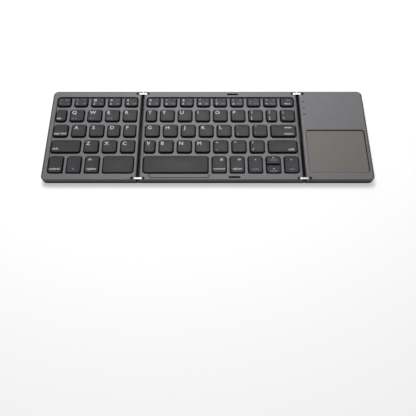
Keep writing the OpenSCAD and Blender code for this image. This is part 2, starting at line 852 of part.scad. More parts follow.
// A hinge block: a knuckle on the pin at x with a leaf that is held between frame and cover
module hinge_block(x, s) {
    y1 = notch_inner - knuckle_gap;
    y0 = y1 - knuckle_l;
    front_and_back(-hinge_shift) difference() {
        union() {
            rod(x, y0, y1, pin_z, knuckle_r);
            box(min(x, x - s * leaf_l), max(x, x - s * leaf_l), y0, y1,
                pin_z - leaf_t / 2, pin_z + leaf_t / 2);
        }
        rod(x, y0 - past, y1 + past, pin_z, pin_r + pin_fit);
    }
}

// The two links of a fold, each on two pins
module hinge_links(fold) {
    y0 = notch_inner + link_inner_gap;
    y1 = y0 + link_t;
    color(chrome) front_and_back(-hinge_shift) difference() {
        union() {
            rod(fold - pin_inset, y0, y1, pin_z, link_r);
            rod(fold + pin_inset, y0, y1, pin_z, link_r);
            box(fold - pin_inset, fold + pin_inset, y0, y1, pin_z - link_r, pin_z + link_r);
        }
        for (s = [-1, 1]) rod(fold + s * pin_inset, y0 - past, y1 + past, pin_z, pin_r + link_fit);
    }
}

module hinge_pins(fold) {
    color(steel) front_and_back(-hinge_shift) for (s = [-1, 1])
        rod(fold + s * pin_inset, notch_inner - knuckle_gap - knuckle_l, ear_end, pin_z, pin_r);
}

module flex_cable(fold) {
    color(rubber_black) box(fold - flex_reach, fold + flex_reach, -flex_w / 2, flex_w / 2,
        pin_z - flex_t / 2, pin_z + flex_t / 2);
}

// ---- Right wing ----

// The three lenses, or with extra > 0 the openings that they fit
module lenses(extra, z0, z1) {
    reach = (lens_l - lens_w) / 2;
    r = lens_w / 2 + extra;
    for (i = [0:2]) translate([lens_x, depth / 2 - lens_from_back - i * lens_pitch, 0]) {
        box(-reach, reach, -r, r, z0, z1);
        for (x = [-reach, reach]) translate([x, 0, z0]) cylinder(r = r, h = z1 - z0);
    }
}

module each_board_screw() {
    e = board_screw_inset;
    for (x = [e, board_w - e], y = [e, board_d - e])
        translate([board_x + x, board_front + y, 0]) children();
}

module port_opening() {
    g = port_gap;
    round_bar(port_x, bay_back - past, depth / 2 + past, board_top + port_h / 2,
        port_w + 2 * g, port_h + 2 * g);
}

module touchpad_glass() {
    g = pad_gap;
    r = pad_corner_r - g;
    color("dimgray") translate([pad_x + g, pad_front + g, pad_glass_bottom])
        plate(pad_w - 2 * g, pad_d - 2 * g, pad_glass_t, [r, r, r, r]);
}

module touchpad_board() {
    w = pad_ledge + inner_gap;
    r = board_corner_r;
    color(board_green) translate([pad_x + w, pad_front + w, pad_board_bottom])
        plate(pad_w - 2 * w, pad_d - 2 * w, pad_board_t, [r, r, r, r]);
}

module main_board() {
    r = board_corner_r;
    color(board_green) difference() {
        union() {
            translate([board_x, board_front, board_bottom]) plate(board_w, board_d, board_t, [r, r, r, r]);
            for (c = chips) translate([board_x + c[0], board_front + c[1], board_top - board_t / 4])
                cube([c[2], c[3], c[4] + board_t / 4]);
        }
        each_board_screw() translate([0, 0, board_bottom - past])
            cylinder(r = screw_r + screw_fit, h = board_t + 2 * past);
    }
}

module battery() {
    x = pad_x + (pad_w - battery_w) / 2;
    y = pad_front + (pad_d - battery_d) / 2;
    r = battery_corner_r;
    color(foil) translate([x, y, floor_top]) plate(battery_w, battery_d, battery_t, [r, r, r, r]);
}

// Socket of the charging port: a sheet shell, open at the back, round a tongue
module charging_port() {
    y1 = depth / 2 - port_recess;
    y0 = y1 - port_l;
    w = port_wall;
    z = board_top + port_h / 2;
    color(chrome) difference() {
        round_bar(port_x, y0, y1, z, port_w, port_h);
        round_bar(port_x, y0 + w, y1 + past, z, port_w - 2 * w, port_h - 2 * w);
    }
    color(rubber_black) box(port_x - port_w / 4, port_x + port_w / 4, y0 + w / 2, y1 - tongue_inset,
        z - tongue_t / 2, z + tongue_t / 2);
}

// ---- Nodes ----

module centre_base_plate() {
    base_plate(left_fold, right_fold, true, true, centre_keys_x, centre_span, centre_post_columns);
}
module centre_dome_sheet() { dome_sheet(centre_rows, centre_keys_x, centre_span, centre_post_columns); }
module centre_key_scissors() { key_scissors(centre_rows, centre_keys_x); }
module centre_screws() { post_screws(centre_keys_x, centre_span, centre_post_columns); }
module centre_hinge_blocks() {
    color(steel) {
        hinge_block(left_fold + pin_inset, -1);
        hinge_block(right_fold - pin_inset, 1);
    }
}
module centre_feet() { color(rubber_black) centre_foot_strips(foot_h + rubber_seat); }
module centre_bumpers() { color(rubber_black) bumper_seat(bumper_h); }

module left_base_plate() {
    base_plate(left_end, left_fold, false, true, left_keys_x, left_span, left_post_columns);
}
module left_dome_sheet() { dome_sheet(left_rows, left_keys_x, left_span, left_post_columns); }
module left_key_scissors() { key_scissors(left_rows, left_keys_x); }
module left_screws() { post_screws(left_keys_x, left_span, left_post_columns); }
module left_hinge_blocks() { color(steel) hinge_block(left_fold - pin_inset, 1); }
module left_feet() { color(rubber_black) left_foot_strips(foot_h + rubber_seat); }

module right_screws() {
    color(steel) each_board_screw() {
        translate([0, 0, board_top - board_screw_l]) cylinder(r = screw_r, h = board_screw_l);
        translate([0, 0, board_top]) cylinder(r = screw_head_r, h = screw_head_t);
    }
}
module right_hinge_blocks() { color(steel) hinge_block(right_fold + pin_inset, -1); }
module right_feet() { color(rubber_black) right_foot_strips(foot_h + rubber_seat); }
module indicator_lenses() { color(white_plastic) lenses(0, bay_top, body_top); }

module left_hinge_links() { hinge_links(left_fold); }
module left_hinge_pins() { hinge_pins(left_fold); }
module left_flex_cable() { flex_cable(left_fold); }
module right_hinge_links() { hinge_links(right_fold); }
module right_hinge_pins() { hinge_pins(right_fold); }
module right_flex_cable() { flex_cable(right_fold); }

module esc_key() { left_keys(0, 0, 0); }
module left_number_keys() { left_keys(0, 1, 4); }
module tab_key() { left_keys(1, 0, 0); }
module left_upper_letter_keys() { left_keys(1, 1, 4); }
module caps_lock_key() { left_keys(home_row, 0, 0); }
module left_home_letter_keys() {
    left_keys(home_row, 1, 4);
    color(key_grey) each_cell(left_rows, left_keys_x, home_row, f_key_at, f_key_at) homing_bar();
}
module left_shift_key() { left_keys(3, 0, 0); }
module left_lower_letter_keys() { left_keys(3, 1, 3); }
module control_key() { left_keys(4, 0, 0); }
module fn_key() { left_keys(4, 1, 1); }
module left_alt_key() { left_keys(4, 2, 2); }
module left_space_key() { left_keys(4, 3, 3); }

module centre_number_keys() { centre_keys(0, 0, 7); }
module backspace_key() { centre_keys(0, 8, 8); }
module centre_upper_letter_keys() { centre_keys(1, 0, 8); }
module centre_home_letter_keys() {
    centre_keys(home_row, 0, 6);
    color(key_grey) each_cell(centre_rows, centre_keys_x, home_row, j_key_at, j_key_at) homing_bar();
}
module enter_key() { centre_keys(home_row, 7, 7); }
module centre_lower_letter_keys() { centre_keys(3, 0, 6); }
module right_shift_key() { centre_keys(3, 7, 7); }
module right_space_key() { centre_keys(4, 0, 0); }
module command_key() { centre_keys(4, 1, 1); }
module right_alt_key() { centre_keys(4, 2, 2); }
module left_arrow_key() { centre_keys(4, 3, 3); }
module up_arrow_key() { each_cell(centre_rows, centre_keys_x, last_row, 4, 4) half_keycap(true); }
module down_arrow_key() { each_cell(centre_rows, centre_keys_x, last_row, 4, 4) half_keycap(false); }
module right_arrow_key() { centre_keys(4, 5, 5); }

centre_top_frame();
centre_bottom_cover();
centre_base_plate();
centre_dome_sheet();
centre_key_scissors();
centre_screws();
centre_hinge_blocks();
centre_feet();
centre_bumpers();
left_top_frame();
left_bottom_cover();
left_base_plate();
left_dome_sheet();
left_key_scissors();
left_screws();
left_hinge_blocks();
left_feet();
right_top_frame();
right_bottom_cover();
right_screws();
right_hinge_blocks();
right_feet();
touchpad_glass();
touchpad_board();
main_board();
battery();
charging_port();
indicator_lenses();
left_hinge_links();
left_hinge_pins();
left_flex_cable();
right_hinge_links();
right_hinge_pins();
right_flex_cable();
esc_key();
left_number_keys();
tab_key();
left_upper_letter_keys();
caps_lock_key();
left_home_letter_keys();
left_shift_key();
left_lower_letter_keys();
control_key();
fn_key();
left_alt_key();
left_space_key();
centre_number_keys();
backspace_key();
centre_upper_letter_keys();
centre_home_letter_keys();
enter_key();
centre_lower_letter_keys();
right_shift_key();
right_space_key();
command_key();
right_alt_key();
left_arrow_key();
up_arrow_key();
down_arrow_key();
right_arrow_key();
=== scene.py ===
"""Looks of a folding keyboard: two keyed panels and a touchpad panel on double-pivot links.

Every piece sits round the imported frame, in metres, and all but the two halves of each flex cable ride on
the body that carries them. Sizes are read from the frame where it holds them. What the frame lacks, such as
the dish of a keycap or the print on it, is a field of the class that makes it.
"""

import json
import logging
import math
from collections.abc import Iterable, Sequence
from dataclasses import dataclass, field
from enum import Enum
from functools import cached_property

import bmesh
import bpy
import numpy as np
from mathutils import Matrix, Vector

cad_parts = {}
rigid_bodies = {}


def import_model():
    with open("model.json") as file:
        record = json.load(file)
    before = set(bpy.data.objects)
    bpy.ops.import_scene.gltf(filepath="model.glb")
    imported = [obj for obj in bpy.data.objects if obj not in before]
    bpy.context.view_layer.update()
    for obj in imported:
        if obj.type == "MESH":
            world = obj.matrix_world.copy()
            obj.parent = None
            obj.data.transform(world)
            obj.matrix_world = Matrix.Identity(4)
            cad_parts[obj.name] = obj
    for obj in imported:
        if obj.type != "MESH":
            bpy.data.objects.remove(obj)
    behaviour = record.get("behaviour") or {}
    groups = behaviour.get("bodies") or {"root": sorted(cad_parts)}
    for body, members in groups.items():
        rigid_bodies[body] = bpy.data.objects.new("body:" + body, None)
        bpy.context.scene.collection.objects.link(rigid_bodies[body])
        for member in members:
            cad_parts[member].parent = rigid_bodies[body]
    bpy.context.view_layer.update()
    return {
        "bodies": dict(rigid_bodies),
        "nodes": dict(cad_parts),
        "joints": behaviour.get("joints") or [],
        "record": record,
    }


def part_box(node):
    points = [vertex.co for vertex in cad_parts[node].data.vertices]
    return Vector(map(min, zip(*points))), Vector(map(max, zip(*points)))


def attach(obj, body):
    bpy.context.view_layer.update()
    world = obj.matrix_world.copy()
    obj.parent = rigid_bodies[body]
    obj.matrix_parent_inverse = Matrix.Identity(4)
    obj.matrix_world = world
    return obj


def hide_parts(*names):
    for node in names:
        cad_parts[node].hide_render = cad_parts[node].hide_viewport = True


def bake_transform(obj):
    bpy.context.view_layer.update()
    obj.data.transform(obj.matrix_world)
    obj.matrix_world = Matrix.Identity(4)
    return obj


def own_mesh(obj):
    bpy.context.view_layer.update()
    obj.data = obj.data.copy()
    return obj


LOG = logging.getLogger("folding_keyboard")
MM = 0.001
GRAIN = 0.001 * MM
NEAR = 0.01 * MM
FLAT_ANGLE = math.radians(0.5)
EDGE_ANGLE = math.radians(32)

Colour = tuple[float, float, float, float]
Frame = dict

WHITE: Colour = (1.0, 1.0, 1.0, 1.0)


class Slot(str, Enum):
    """The record's finishes, by the names that it gives them."""

    PAINT = "frame_paint"
    COVER = "cover_plastic"
    KEY = "key_plastic"
    PLATE = "plate_steel"
    DOME = "dome_silicone"
    SCISSOR = "scissor_plastic"
    SCREW = "screw_steel"
    BLOCK = "block_steel"
    RUBBER = "foot_rubber"
    LINK = "link_chrome"
    PIN = "pin_steel"
    FLEX = "flex_black"
    PAD = "pad_glass"
    BOARD = "circuit_board"
    BATTERY = "battery_foil"
    PORT = "port_shell"
    LENS = "lens_plastic"


def rgb(red: int, green: int, blue: int) -> Colour:
    """A colour given as it shows on a screen, 0 to 255, as linear light.

    Args:
        red, green, blue: screen values.

    Returns:
        Linear red, green and blue, and an alpha of 1.
    """
    shown = np.array([red, green, blue]) / 255
    linear = np.where(shown <= 0.04045, shown / 12.92, ((shown + 0.055) / 1.055) ** 2.4)
    return (*(float(c) for c in linear), 1.0)


# ---- Skins: meshes as whole arrays ----


@dataclass
class Skin:
    """A closed surface of many-sided faces.

    points is (n, 3) in metres. corners lists the points of every face, one face after the other, and
    counts says how many corners each face has. spread is a place on a flat map for each point.
    """

    points: np.ndarray
    corners: np.ndarray
    counts: np.ndarray
    spread: np.ndarray | None = None

    def volume(self) -> float:
        """Volume inside the skin, below 0 where its faces point inwards.

        Each face is a fan of triangles from its first corner, and the volume is a sixth of the sum of
        their triple products.
        """
        starts = np.cumsum(self.counts) - self.counts
        first = np.repeat(starts, self.counts - 2)
        step = np.arange(len(first)) - np.repeat(
            np.cumsum(self.counts - 2) - (self.counts - 2), self.counts - 2
        )
        a, b, c = (self.points[self.corners[first + i]] for i in (0, step + 1, step + 2))
        return float(np.einsum("ij,ij->i", a, np.cross(b, c)).sum() / 6)

    def outward(self) -> "Skin":
        """The same skin with its faces pointing outwards."""
        if self.volume() >= 0:
            return self
        starts = np.cumsum(self.counts) - self.counts
        ends = np.repeat(starts + self.counts - 1, self.counts)
        place = np.arange(len(self.corners)) - np.repeat(starts, self.counts)
        return Skin(self.points, self.corners[ends - place], self.counts, self.spread)


def merged(skins: Sequence[Skin]) -> Skin:
    """Several skins as one, which stay separate solids."""
    sizes = np.array([len(s.points) for s in skins])
    starts = np.cumsum(sizes) - sizes
    spread = None
    if all(s.spread is not None for s in skins):
        spread = np.concatenate([s.spread for s in skins])
    return Skin(
        np.concatenate([s.points for s in skins]),
        np.concatenate([s.corners + start for s, start in zip(skins, starts)]),
        np.concatenate([s.counts for s in skins]),
        spread,
    )


def stacked(rings: np.ndarray) -> Skin:
    """Closed skin through a stack of rings, each with the same number of points.

    Neighbouring rings are joined by quads, and the first and the last ring by a fan to their own middle.

    Args:
        rings: array (k, n, 3).

    Returns:
        The skin, with its faces pointing outwards.
    """
    k, n, _ = rings.shape
    here = np.arange(n)
    after = (here + 1) % n
    base = (np.arange(k - 1) * n)[:, None]
    quads = np.stack([base + here, base + after, base + n + after, base + n + here], -1)
    first_pole, last_pole = k * n, k * n + 1
    last = (k - 1) * n
    fans = np.concatenate([
        np.stack([np.full(n, first_pole), after, here], -1),
        np.stack([np.full(n, last_pole), last + here, last + after], -1),
    ])
    points = np.concatenate([rings.reshape(-1, 3), rings[:1].mean(1), rings[-1:].mean(1)])
    corners = np.concatenate([quads.reshape(-1), fans.reshape(-1)])
    counts = np.concatenate([np.full((k - 1) * n, 4), np.full(2 * n, 3)])
    return Skin(points, corners, counts).outward()


@dataclass(frozen=True)
class Rounded:
    """A rectangle with its own radius at each corner: front left, front right, back right, back left."""

    x0: float
    y0: float
    x1: float
    y1: float
    radii: tuple[float, float, float, float]
    sharpest: float = 0.03 * MM

    @property
    def middle(self) -> np.ndarray:
        """Middle of the rectangle."""
        return np.array([self.x0 + self.x1, self.y0 + self.y1]) / 2

    def rings(self, insets: np.ndarray, arc_steps: int = 6, side_steps: int = 3) -> np.ndarray:
        """Outlines inside the rectangle, one for each inset.

        A corner at inset s is the arc c(s) + r(s) (cos a, sin a). r(s) is the corner's radius less s,
        c(s) lies s + r(s) inside both sides, and a runs through a quarter turn. Sides are divided evenly.

        Args:
            insets: distance of each outline from the edge.
            arc_steps: steps in each corner.
            side_steps: points between two corners.

        Returns:
            Array (number of insets, points, 2).
        """
        s = np.asarray(insets, float)[:, None, None]
        r = np.maximum(np.array(self.radii)[None, :, None] - s, self.sharpest)
        turn = 180 + 90 * np.arange(4)[:, None] + np.linspace(0, 90, arc_steps + 1)
        a = np.radians(turn)[None]
        x = np.array([self.x0, self.x1, self.x1, self.x0])[None, :, None]
        y = np.array([self.y0, self.y0, self.y1, self.y1])[None, :, None]
        to_right = np.array([1, -1, -1, 1])[None, :, None]
        to_back = np.array([1, 1, -1, -1])[None, :, None]
        arcs = np.stack([
            x + to_right * (s + r) + r * np.cos(a),
            y + to_back * (s + r) + r * np.sin(a),
        ], -1)
        ends = arcs[:, :, -1:]
        starts = np.roll(arcs[:, :, :1], -1, axis=1)
        share = (np.arange(1, side_steps + 1) / (side_steps + 1))[None, None, :, None]
        sides = ends + share * (starts - ends)
        return np.concatenate([arcs, sides], 2).reshape(len(s), -1, 2)


def disc(x: float, y: float, r: float) -> Rounded:
    """A circle about a point."""
    return Rounded(x - r, y - r, x + r, y + r, (r, r, r, r))


def raised(outlines: np.ndarray, heights: np.ndarray) -> np.ndarray:
    """Flat outlines (k, n, 2) lifted to their heights (k,), as rings (k, n, 3)."""
    z = np.broadcast_to(np.asarray(heights, float)[:, None, None], (*outlines.shape[:2], 1))
    return np.concatenate([outlines, z], -1)


def rounding(radius: float, steps: int) -> tuple[np.ndarray, np.ndarray]:
    """A quarter circle from an upright side to a flat top.

    Returns:
        How far each point lies inside the side, and how far under the top: r (1 - cos a), r (1 - sin a).
    """
    a = np.linspace(0, math.pi / 2, steps + 1)
    return radius * (1 - np.cos(a)), radius * (1 - np.sin(a))


def pillow(shape: Rounded, z0: float, z1: float, top: float, bottom: float = 0.0, steps: int = 4) -> Skin:
    """A plate with rounded upper and lower edges.

    Its rings go up the side, in over the rounding and then to the middle of each face. The rounding is
    the quarter circle of rounding().

    Args:
        shape: outline seen from above.
        z0, z1: lower and upper face.
        top, bottom: radius of the upper and lower edge.
        steps: steps in each rounding.

    Returns:
        The closed skin.
    """
    over_in, over_down = rounding(top, steps)
    under_in, under_up = rounding(bottom, steps) if bottom else (np.zeros(1), np.zeros(1))
    insets = np.concatenate([under_in[::-1], over_in])
    heights = np.concatenate([z0 + under_up[::-1], z1 - over_down])
    return stacked(raised(shape.rings(insets), heights))


def pillows(node: bpy.types.Object, flat: float, top: float, bottom: float = 0.0) -> Skin:
    """The boxes of a frame node's solids as plates with round ends.

    Args:
        node: the frame node.
        flat: by how much a plate's ends miss being half round.
        top, bottom: radius of the upper and lower edge.

    Returns:
        All the plates as one skin.
    """
    plates = []
    for low, high in solid_boxes(node):
        r = (high - low)[:2].min() / 2 - flat
        shape = Rounded(low[0], low[1], high[0], high[1], (r, r, r, r))
        plates.append(pillow(shape, low[2], high[2], top, bottom))
    return merged(plates)


def prism(outline: np.ndarray, z0: float, z1: float) -> Skin:
    """A straight-sided solid over a convex outline (n, 2)."""
    return stacked(raised(np.repeat(outline[None], 2, 0), np.array([z0, z1])))


def swapped(skin: Skin, order: tuple[int, int, int]) -> Skin:
    """The skin with its axes taken in another order."""
    return Skin(skin.points[:, order], skin.corners, skin.counts, skin.spread).outward()


def arrays(mesh: bpy.types.Mesh) -> tuple[np.ndarray, np.ndarray, np.ndarray]:
    """A mesh's points (n, 3), the corners of its faces one after the other, and how many each face has."""
    points = np.empty(len(mesh.vertices) * 3)
    corners = np.empty(len(mesh.loops), int)
    counts = np.empty(len(mesh.polygons), int)
    mesh.vertices.foreach_get("co", points)
    mesh.loops.foreach_get("vertex_index", corners)
    mesh.polygons.foreach_get("loop_total", counts)
    return points.reshape(-1, 3), corners, counts


def welded(node: bpy.types.Object) -> tuple[np.ndarray, np.ndarray]:
    """A frame node's points (n, 3) and triangles (m, 3), with points less than GRAIN apart made one."""
    points, corners, _ = arrays(node.data)
    steps = np.round(points / GRAIN).astype(int)
    places, label = np.unique(steps, axis=0, return_inverse=True)
    return places * GRAIN, label.reshape(-1)[corners].reshape(-1, 3)


def triangle_skin(points: np.ndarray, faces: np.ndarray) -> Skin:
    """The skin of some triangles (m, 3), with the points that they use."""
    used, corners = np.unique(faces, return_inverse=True)
    return Skin(points[used], corners.reshape(-1), np.full(len(faces), 3))


def solid_boxes(obj: bpy.types.Object) -> np.ndarray:
    """Boxes of the separate solids in a frame node, from left to right and then from front to back.

    Each triangle hands the lowest label of its corners to all of them, until nothing changes, and a solid
    is what shares a label.

    Returns:
        Array (solids, 2, 3) of lowest and highest corners.
    """
    at, faces = welded(obj)
    island = np.arange(len(at))
    while True:
        lowest = island[faces].min(1)
        spread = island.copy()
        np.minimum.at(spread, faces.reshape(-1), np.repeat(lowest, 3))
        spread = spread[spread]
        if np.array_equal(spread, island):
            break
        island = spread
    boxes = [np.stack([at[island == i].min(0), at[island == i].max(0)]) for i in np.unique(island)]
    keys = [(round(float(b[0, 0]), 5), round(float(b[0, 1]), 5)) for b in boxes]
    return np.stack([boxes[i] for i in sorted(range(len(boxes)), key=keys.__getitem__)])


# ---- Pieces ----


def dressed(
    obj: bpy.types.Object, body: str, replaced: Iterable[str] = ()
) -> bpy.types.Object:
    """Puts a finished piece on the body that carries it and says what it stands for.

    Args:
        obj: the piece, at the origin.
        body: the body that it rides on.
        replaced: frame nodes that it stands for.

    Returns:
        The same piece.
    """
    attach(obj, body)
    nodes = tuple(replaced)
    if nodes:
        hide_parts(*nodes)
    LOG.info("%s rides on %s: %d faces", obj.name, body, len(obj.data.polygons))
    return obj


def linked(name: str, data: bpy.types.ID) -> bpy.types.Object:
    """A new object at the origin, in the scene."""
    obj = bpy.data.objects.new(name, data)
    bpy.context.scene.collection.objects.link(obj)
    return obj


def skin_object(name: str, skin: Skin, material: bpy.types.Material, sharp: float = 40) -> bpy.types.Object:
    """A mesh object from a skin, smooth but for the edges that turn by more than sharp degrees."""
    mesh = bpy.data.meshes.new(name)
    mesh.vertices.add(len(skin.points))
    mesh.vertices.foreach_set("co", skin.points.astype(np.float32).reshape(-1))
    mesh.loops.add(len(skin.corners))
    mesh.loops.foreach_set("vertex_index", skin.corners.astype(np.int32))
    mesh.polygons.add(len(skin.counts))
    mesh.polygons.foreach_set("loop_start", (np.cumsum(skin.counts) - skin.counts).astype(np.int32))
    if skin.spread is not None:
        layer = mesh.uv_layers.new(name="UVMap")
        layer.data.foreach_set("uv", skin.spread[skin.corners].astype(np.float32).reshape(-1))
    mesh.update(calc_edges=True)
    mesh.validate()
    mesh.shade_smooth()
    mesh.set_sharp_from_angle(angle=math.radians(sharp))
    mesh.materials.append(material)
    return linked(name, mesh)


def softened(
    node: bpy.types.Object, name: str, material: bpy.types.Material, width: float, segments: int = 2
) -> bpy.types.Object:
    """A copy of a frame node whose edges are broken as a mould or a polishing wheel leaves them.

    Args:
        node: the frame node that is copied.
        name: name of the new piece.
        material: its finish.
        width: width of the broken edge.
        segments: steps across it.

    Returns:
        The copy, with its triangles merged, a live Bevel, and normals that keep its large faces flat.
    """
    work = bmesh.new()
    work.from_mesh(node.data)
    bmesh.ops.remove_doubles(work, verts=work.verts, dist=2 * GRAIN)
    bmesh.ops.dissolve_limit(work, angle_limit=FLAT_ANGLE, verts=work.verts, edges=work.edges)
    mesh = bpy.data.meshes.new(name)
    work.to_mesh(mesh)
    work.free()
    mesh.shade_smooth()
    mesh.materials.append(material)
    obj = linked(name, mesh)
    bevel = obj.modifiers.new("broken_edges", "BEVEL")
    bevel.width = width
    bevel.segments = segments
    bevel.limit_method = "ANGLE"
    bevel.angle_limit = EDGE_ANGLE
    bevel.miter_outer = "MITER_ARC"
    even = obj.modifiers.new("even_faces", "WEIGHTED_NORMAL")
    even.mode = "FACE_AREA"
    even.weight = 100
    return obj


# ---- Finishes ----


class Graph:
    """Writes a node tree from left to right."""

    def __init__(self, tree: bpy.types.NodeTree) -> None:
        """Starts on an empty tree."""
        self.tree = tree
        tree.nodes.clear()

    def feed(self, socket: bpy.types.NodeSocket, value: object) -> None:
        """Gives an input a value or another node's output."""
        if isinstance(value, bpy.types.NodeSocket):
            self.tree.links.new(value, socket)
        else:
            socket.default_value = value

    def add(self, kind: str, inputs: dict | None = None, **settings: object) -> bpy.types.Node:
        """Adds one node.

        Args:
            kind: the node's type.
            inputs: a value or another node's output for each named or numbered input.
            settings: the node's own settings.

        Returns:
            The node.
        """
        node = self.tree.nodes.new(kind)
        for name, value in settings.items():
            setattr(node, name, value)
        for key, value in (inputs or {}).items():
            self.feed(node.inputs[key], value)
        return node

    def effect(self, tree: bpy.types.NodeTree, **inputs: object) -> bpy.types.bpy_prop_collection:
        """Outputs of a node group whose inputs are given by name, with an underscore for a space."""
        named = {name.replace("_", " "): value for name, value in inputs.items()}
        return self.add("ShaderNodeGroup", named, node_tree=tree).outputs

    def place(self) -> bpy.types.NodeSocket:
        """The place of a point on its piece, in metres."""
        return self.add("ShaderNodeTexCoord").outputs["Object"]

    def split(self, vector: object) -> bpy.types.bpy_prop_collection:
        """X, Y and Z of a vector."""
        return self.add("ShaderNodeSeparateXYZ", {0: vector}).outputs

    def noise(self, vector: object, scale: object, detail: float = 2.0,
              roughness: float = 0.5) -> bpy.types.NodeSocket:
        """Cloudy noise, mostly near 0.5."""
        return self.add("ShaderNodeTexNoise", {
            "Vector": vector, "Scale": scale, "Detail": detail, "Roughness": roughness}).outputs["Fac"]

    def scaled(self, vector: object, share: object) -> bpy.types.NodeSocket:
        """A colour or a vector times a number."""
        return self.add("ShaderNodeVectorMath", {0: vector, "Scale": share}, operation="SCALE").outputs[0]

    def math(self, operation: str, *values: object, clamp: bool = False) -> bpy.types.NodeSocket:
        """One step of arithmetic, and its result."""
        node = self.add("ShaderNodeMath", dict(enumerate(values)), operation=operation, use_clamp=clamp)
        return node.outputs[0]

    def less_half(self, value: object) -> bpy.types.NodeSocket:
        """A value less 0.5."""
        return self.math("SUBTRACT", value, 0.5)

    def away(self, value: object, middle: float) -> bpy.types.NodeSocket:
        """How far a value is from a middle."""
        return self.math("ABSOLUTE", self.math("SUBTRACT", value, middle))

    def range(self, value: object, low: float, high: float, to_low: float = 0.0,
              to_high: float = 1.0) -> bpy.types.NodeSocket:
        """A value brought smoothly from one range into another."""
        return self.add("ShaderNodeMapRange", {
            "Value": value, "From Min": low, "From Max": high, "To Min": to_low, "To Max": to_high,
        }, interpolation_type="SMOOTHSTEP").outputs["Result"]

    def blend(self, share: object, first: object, second: object) -> bpy.types.NodeSocket:
        """Two colours mixed: the first where share is 0, the second where it is 1."""
        return self.add("ShaderNodeMix", {0: share, 6: first, 7: second}, data_type="RGBA").outputs[2]


class Effects:
    """Node groups that several finishes share, each built once.

    kinds says which of their sockets aren't plain numbers. broad_share is how many broad clouds there are
    for each speckle, and cloud_scale how many clouds a metre holds in the finger polish, whose outline
    they move by up to ragged.
    """

    kinds = {"Colour": "NodeSocketColor", "Streaks": "NodeSocketVector"}
    broad_share = 0.012
    cloud_scale = 160.0
    ragged = 0.7

    def __init__(self) -> None:
        """Builds the groups."""
        self.grain = self._grain()
        self.polish = self._polish()
        self.brushing = self._brushing()

    def _group(self, name: str, takes: Sequence[str], gives: Sequence[str]) -> tuple:
        """An empty group with its sockets: its graph, what it is given, and the inputs of its end."""
        tree = bpy.data.node_groups.new(name, "ShaderNodeTree")
        for way, labels in (("INPUT", takes), ("OUTPUT", gives)):
            for label in labels:
                kind = self.kinds.get(label, "NodeSocketFloat")
                tree.interface.new_socket(label, in_out=way, socket_type=kind)
        graph = Graph(tree)
        return graph, graph.add("NodeGroupInput").outputs, graph.add("NodeGroupOutput").inputs

    def _grain(self) -> bpy.types.NodeTree:
        """Fine speckle over a faint broad cloud, as paint and moulded plastic have."""
        graph, given, made = self._group(
            "surface_grain", ("Colour", "Roughness", "Per Metre", "Contrast", "Roughness Spread"),
            ("Colour", "Roughness", "Height"))
        place = graph.place()
        fine = graph.noise(place, given["Per Metre"], roughness=0.6)
        broad = graph.noise(place, graph.math("MULTIPLY", given["Per Metre"], self.broad_share), 3.0)
        both = graph.math("ADD", graph.less_half(fine), graph.less_half(broad))
        light = graph.math("MULTIPLY_ADD", both, given["Contrast"], 1.0)
        rough = graph.math(
            "MULTIPLY_ADD", graph.less_half(broad), given["Roughness Spread"], given["Roughness"])
        graph.feed(made["Colour"], graph.scaled(given["Colour"], light))
        graph.feed(made["Roughness"], rough)
        graph.feed(made["Height"], fine)
        return graph.tree

    def _polish(self) -> bpy.types.NodeTree:
        """Where fingers rub a key or a pad: 1 in the middle of the piece's map, 0 at its edges."""
        graph, given, made = self._group("finger_polish", ("Reach",), ("Mask",))
        spot = graph.split(graph.add("ShaderNodeUVMap", uv_map="UVMap").outputs[0])
        cloud = graph.noise(graph.place(), self.cloud_scale)
        off = [graph.math("ABSOLUTE", graph.math("MULTIPLY_ADD", spot[axis], 2.0, -1.0)) for axis in (0, 1)]
        length = graph.math("SQRT", graph.math("ADD", *(graph.math("POWER", a, 2.0) for a in off)))
        edge = graph.math("MULTIPLY_ADD", graph.less_half(cloud), self.ragged, length)
        inside = graph.math("SUBTRACT", 1.0, graph.math("DIVIDE", edge, given["Reach"]), clamp=True)
        graph.feed(made["Mask"], inside)
        return graph.tree

    def _brushing(self) -> bpy.types.NodeTree:
        """Fine streaks: noise that is drawn out along one axis of the piece."""
        graph, given, made = self._group(
            "brushing", ("Streaks", "Roughness", "Spread"), ("Roughness", "Height"))
        place = graph.add("ShaderNodeMapping", {"Vector": graph.place(), "Scale": given["Streaks"]})
        streak = graph.noise(place.outputs[0], 1.0, 3.0)
        rough = graph.math("MULTIPLY_ADD", graph.less_half(streak), given["Spread"], given["Roughness"])
        graph.feed(made["Roughness"], rough)
        graph.feed(made["Height"], streak)
        return graph.tree


class Finish:
    """What all finishes share: a surface shader that each of them feeds in its own way."""

    def build(self, name: str, effects: Effects) -> bpy.types.Material:
        """Makes the material.

        Args:
            name: the material's name.
            effects: the shared node groups.

        Returns:
            The material.
        """
        material = bpy.data.materials.new(name)
        material.use_nodes = True
        graph = Graph(material.node_tree)
        surface = graph.add("ShaderNodeBsdfPrincipled")
        graph.add("ShaderNodeOutputMaterial", {"Surface": surface.outputs[0]})
        for label, value in self.inputs(graph, effects).items():
            graph.feed(surface.inputs[label], value)
        return material

    def inputs(self, graph: Graph, effects: Effects) -> dict[str, object]:
        """What the surface shader gets, by the names of its inputs."""
        raise NotImplementedError

    @staticmethod
    def relief(graph: Graph, height: object, depth: float) -> bpy.types.NodeSocket:
        """The normal of a surface that a height from 0 to 1 moves by up to depth metres."""
        return graph.add("ShaderNodeBump", {"Height": height, "Distance": depth, "Strength": 1.0}).outputs[0]


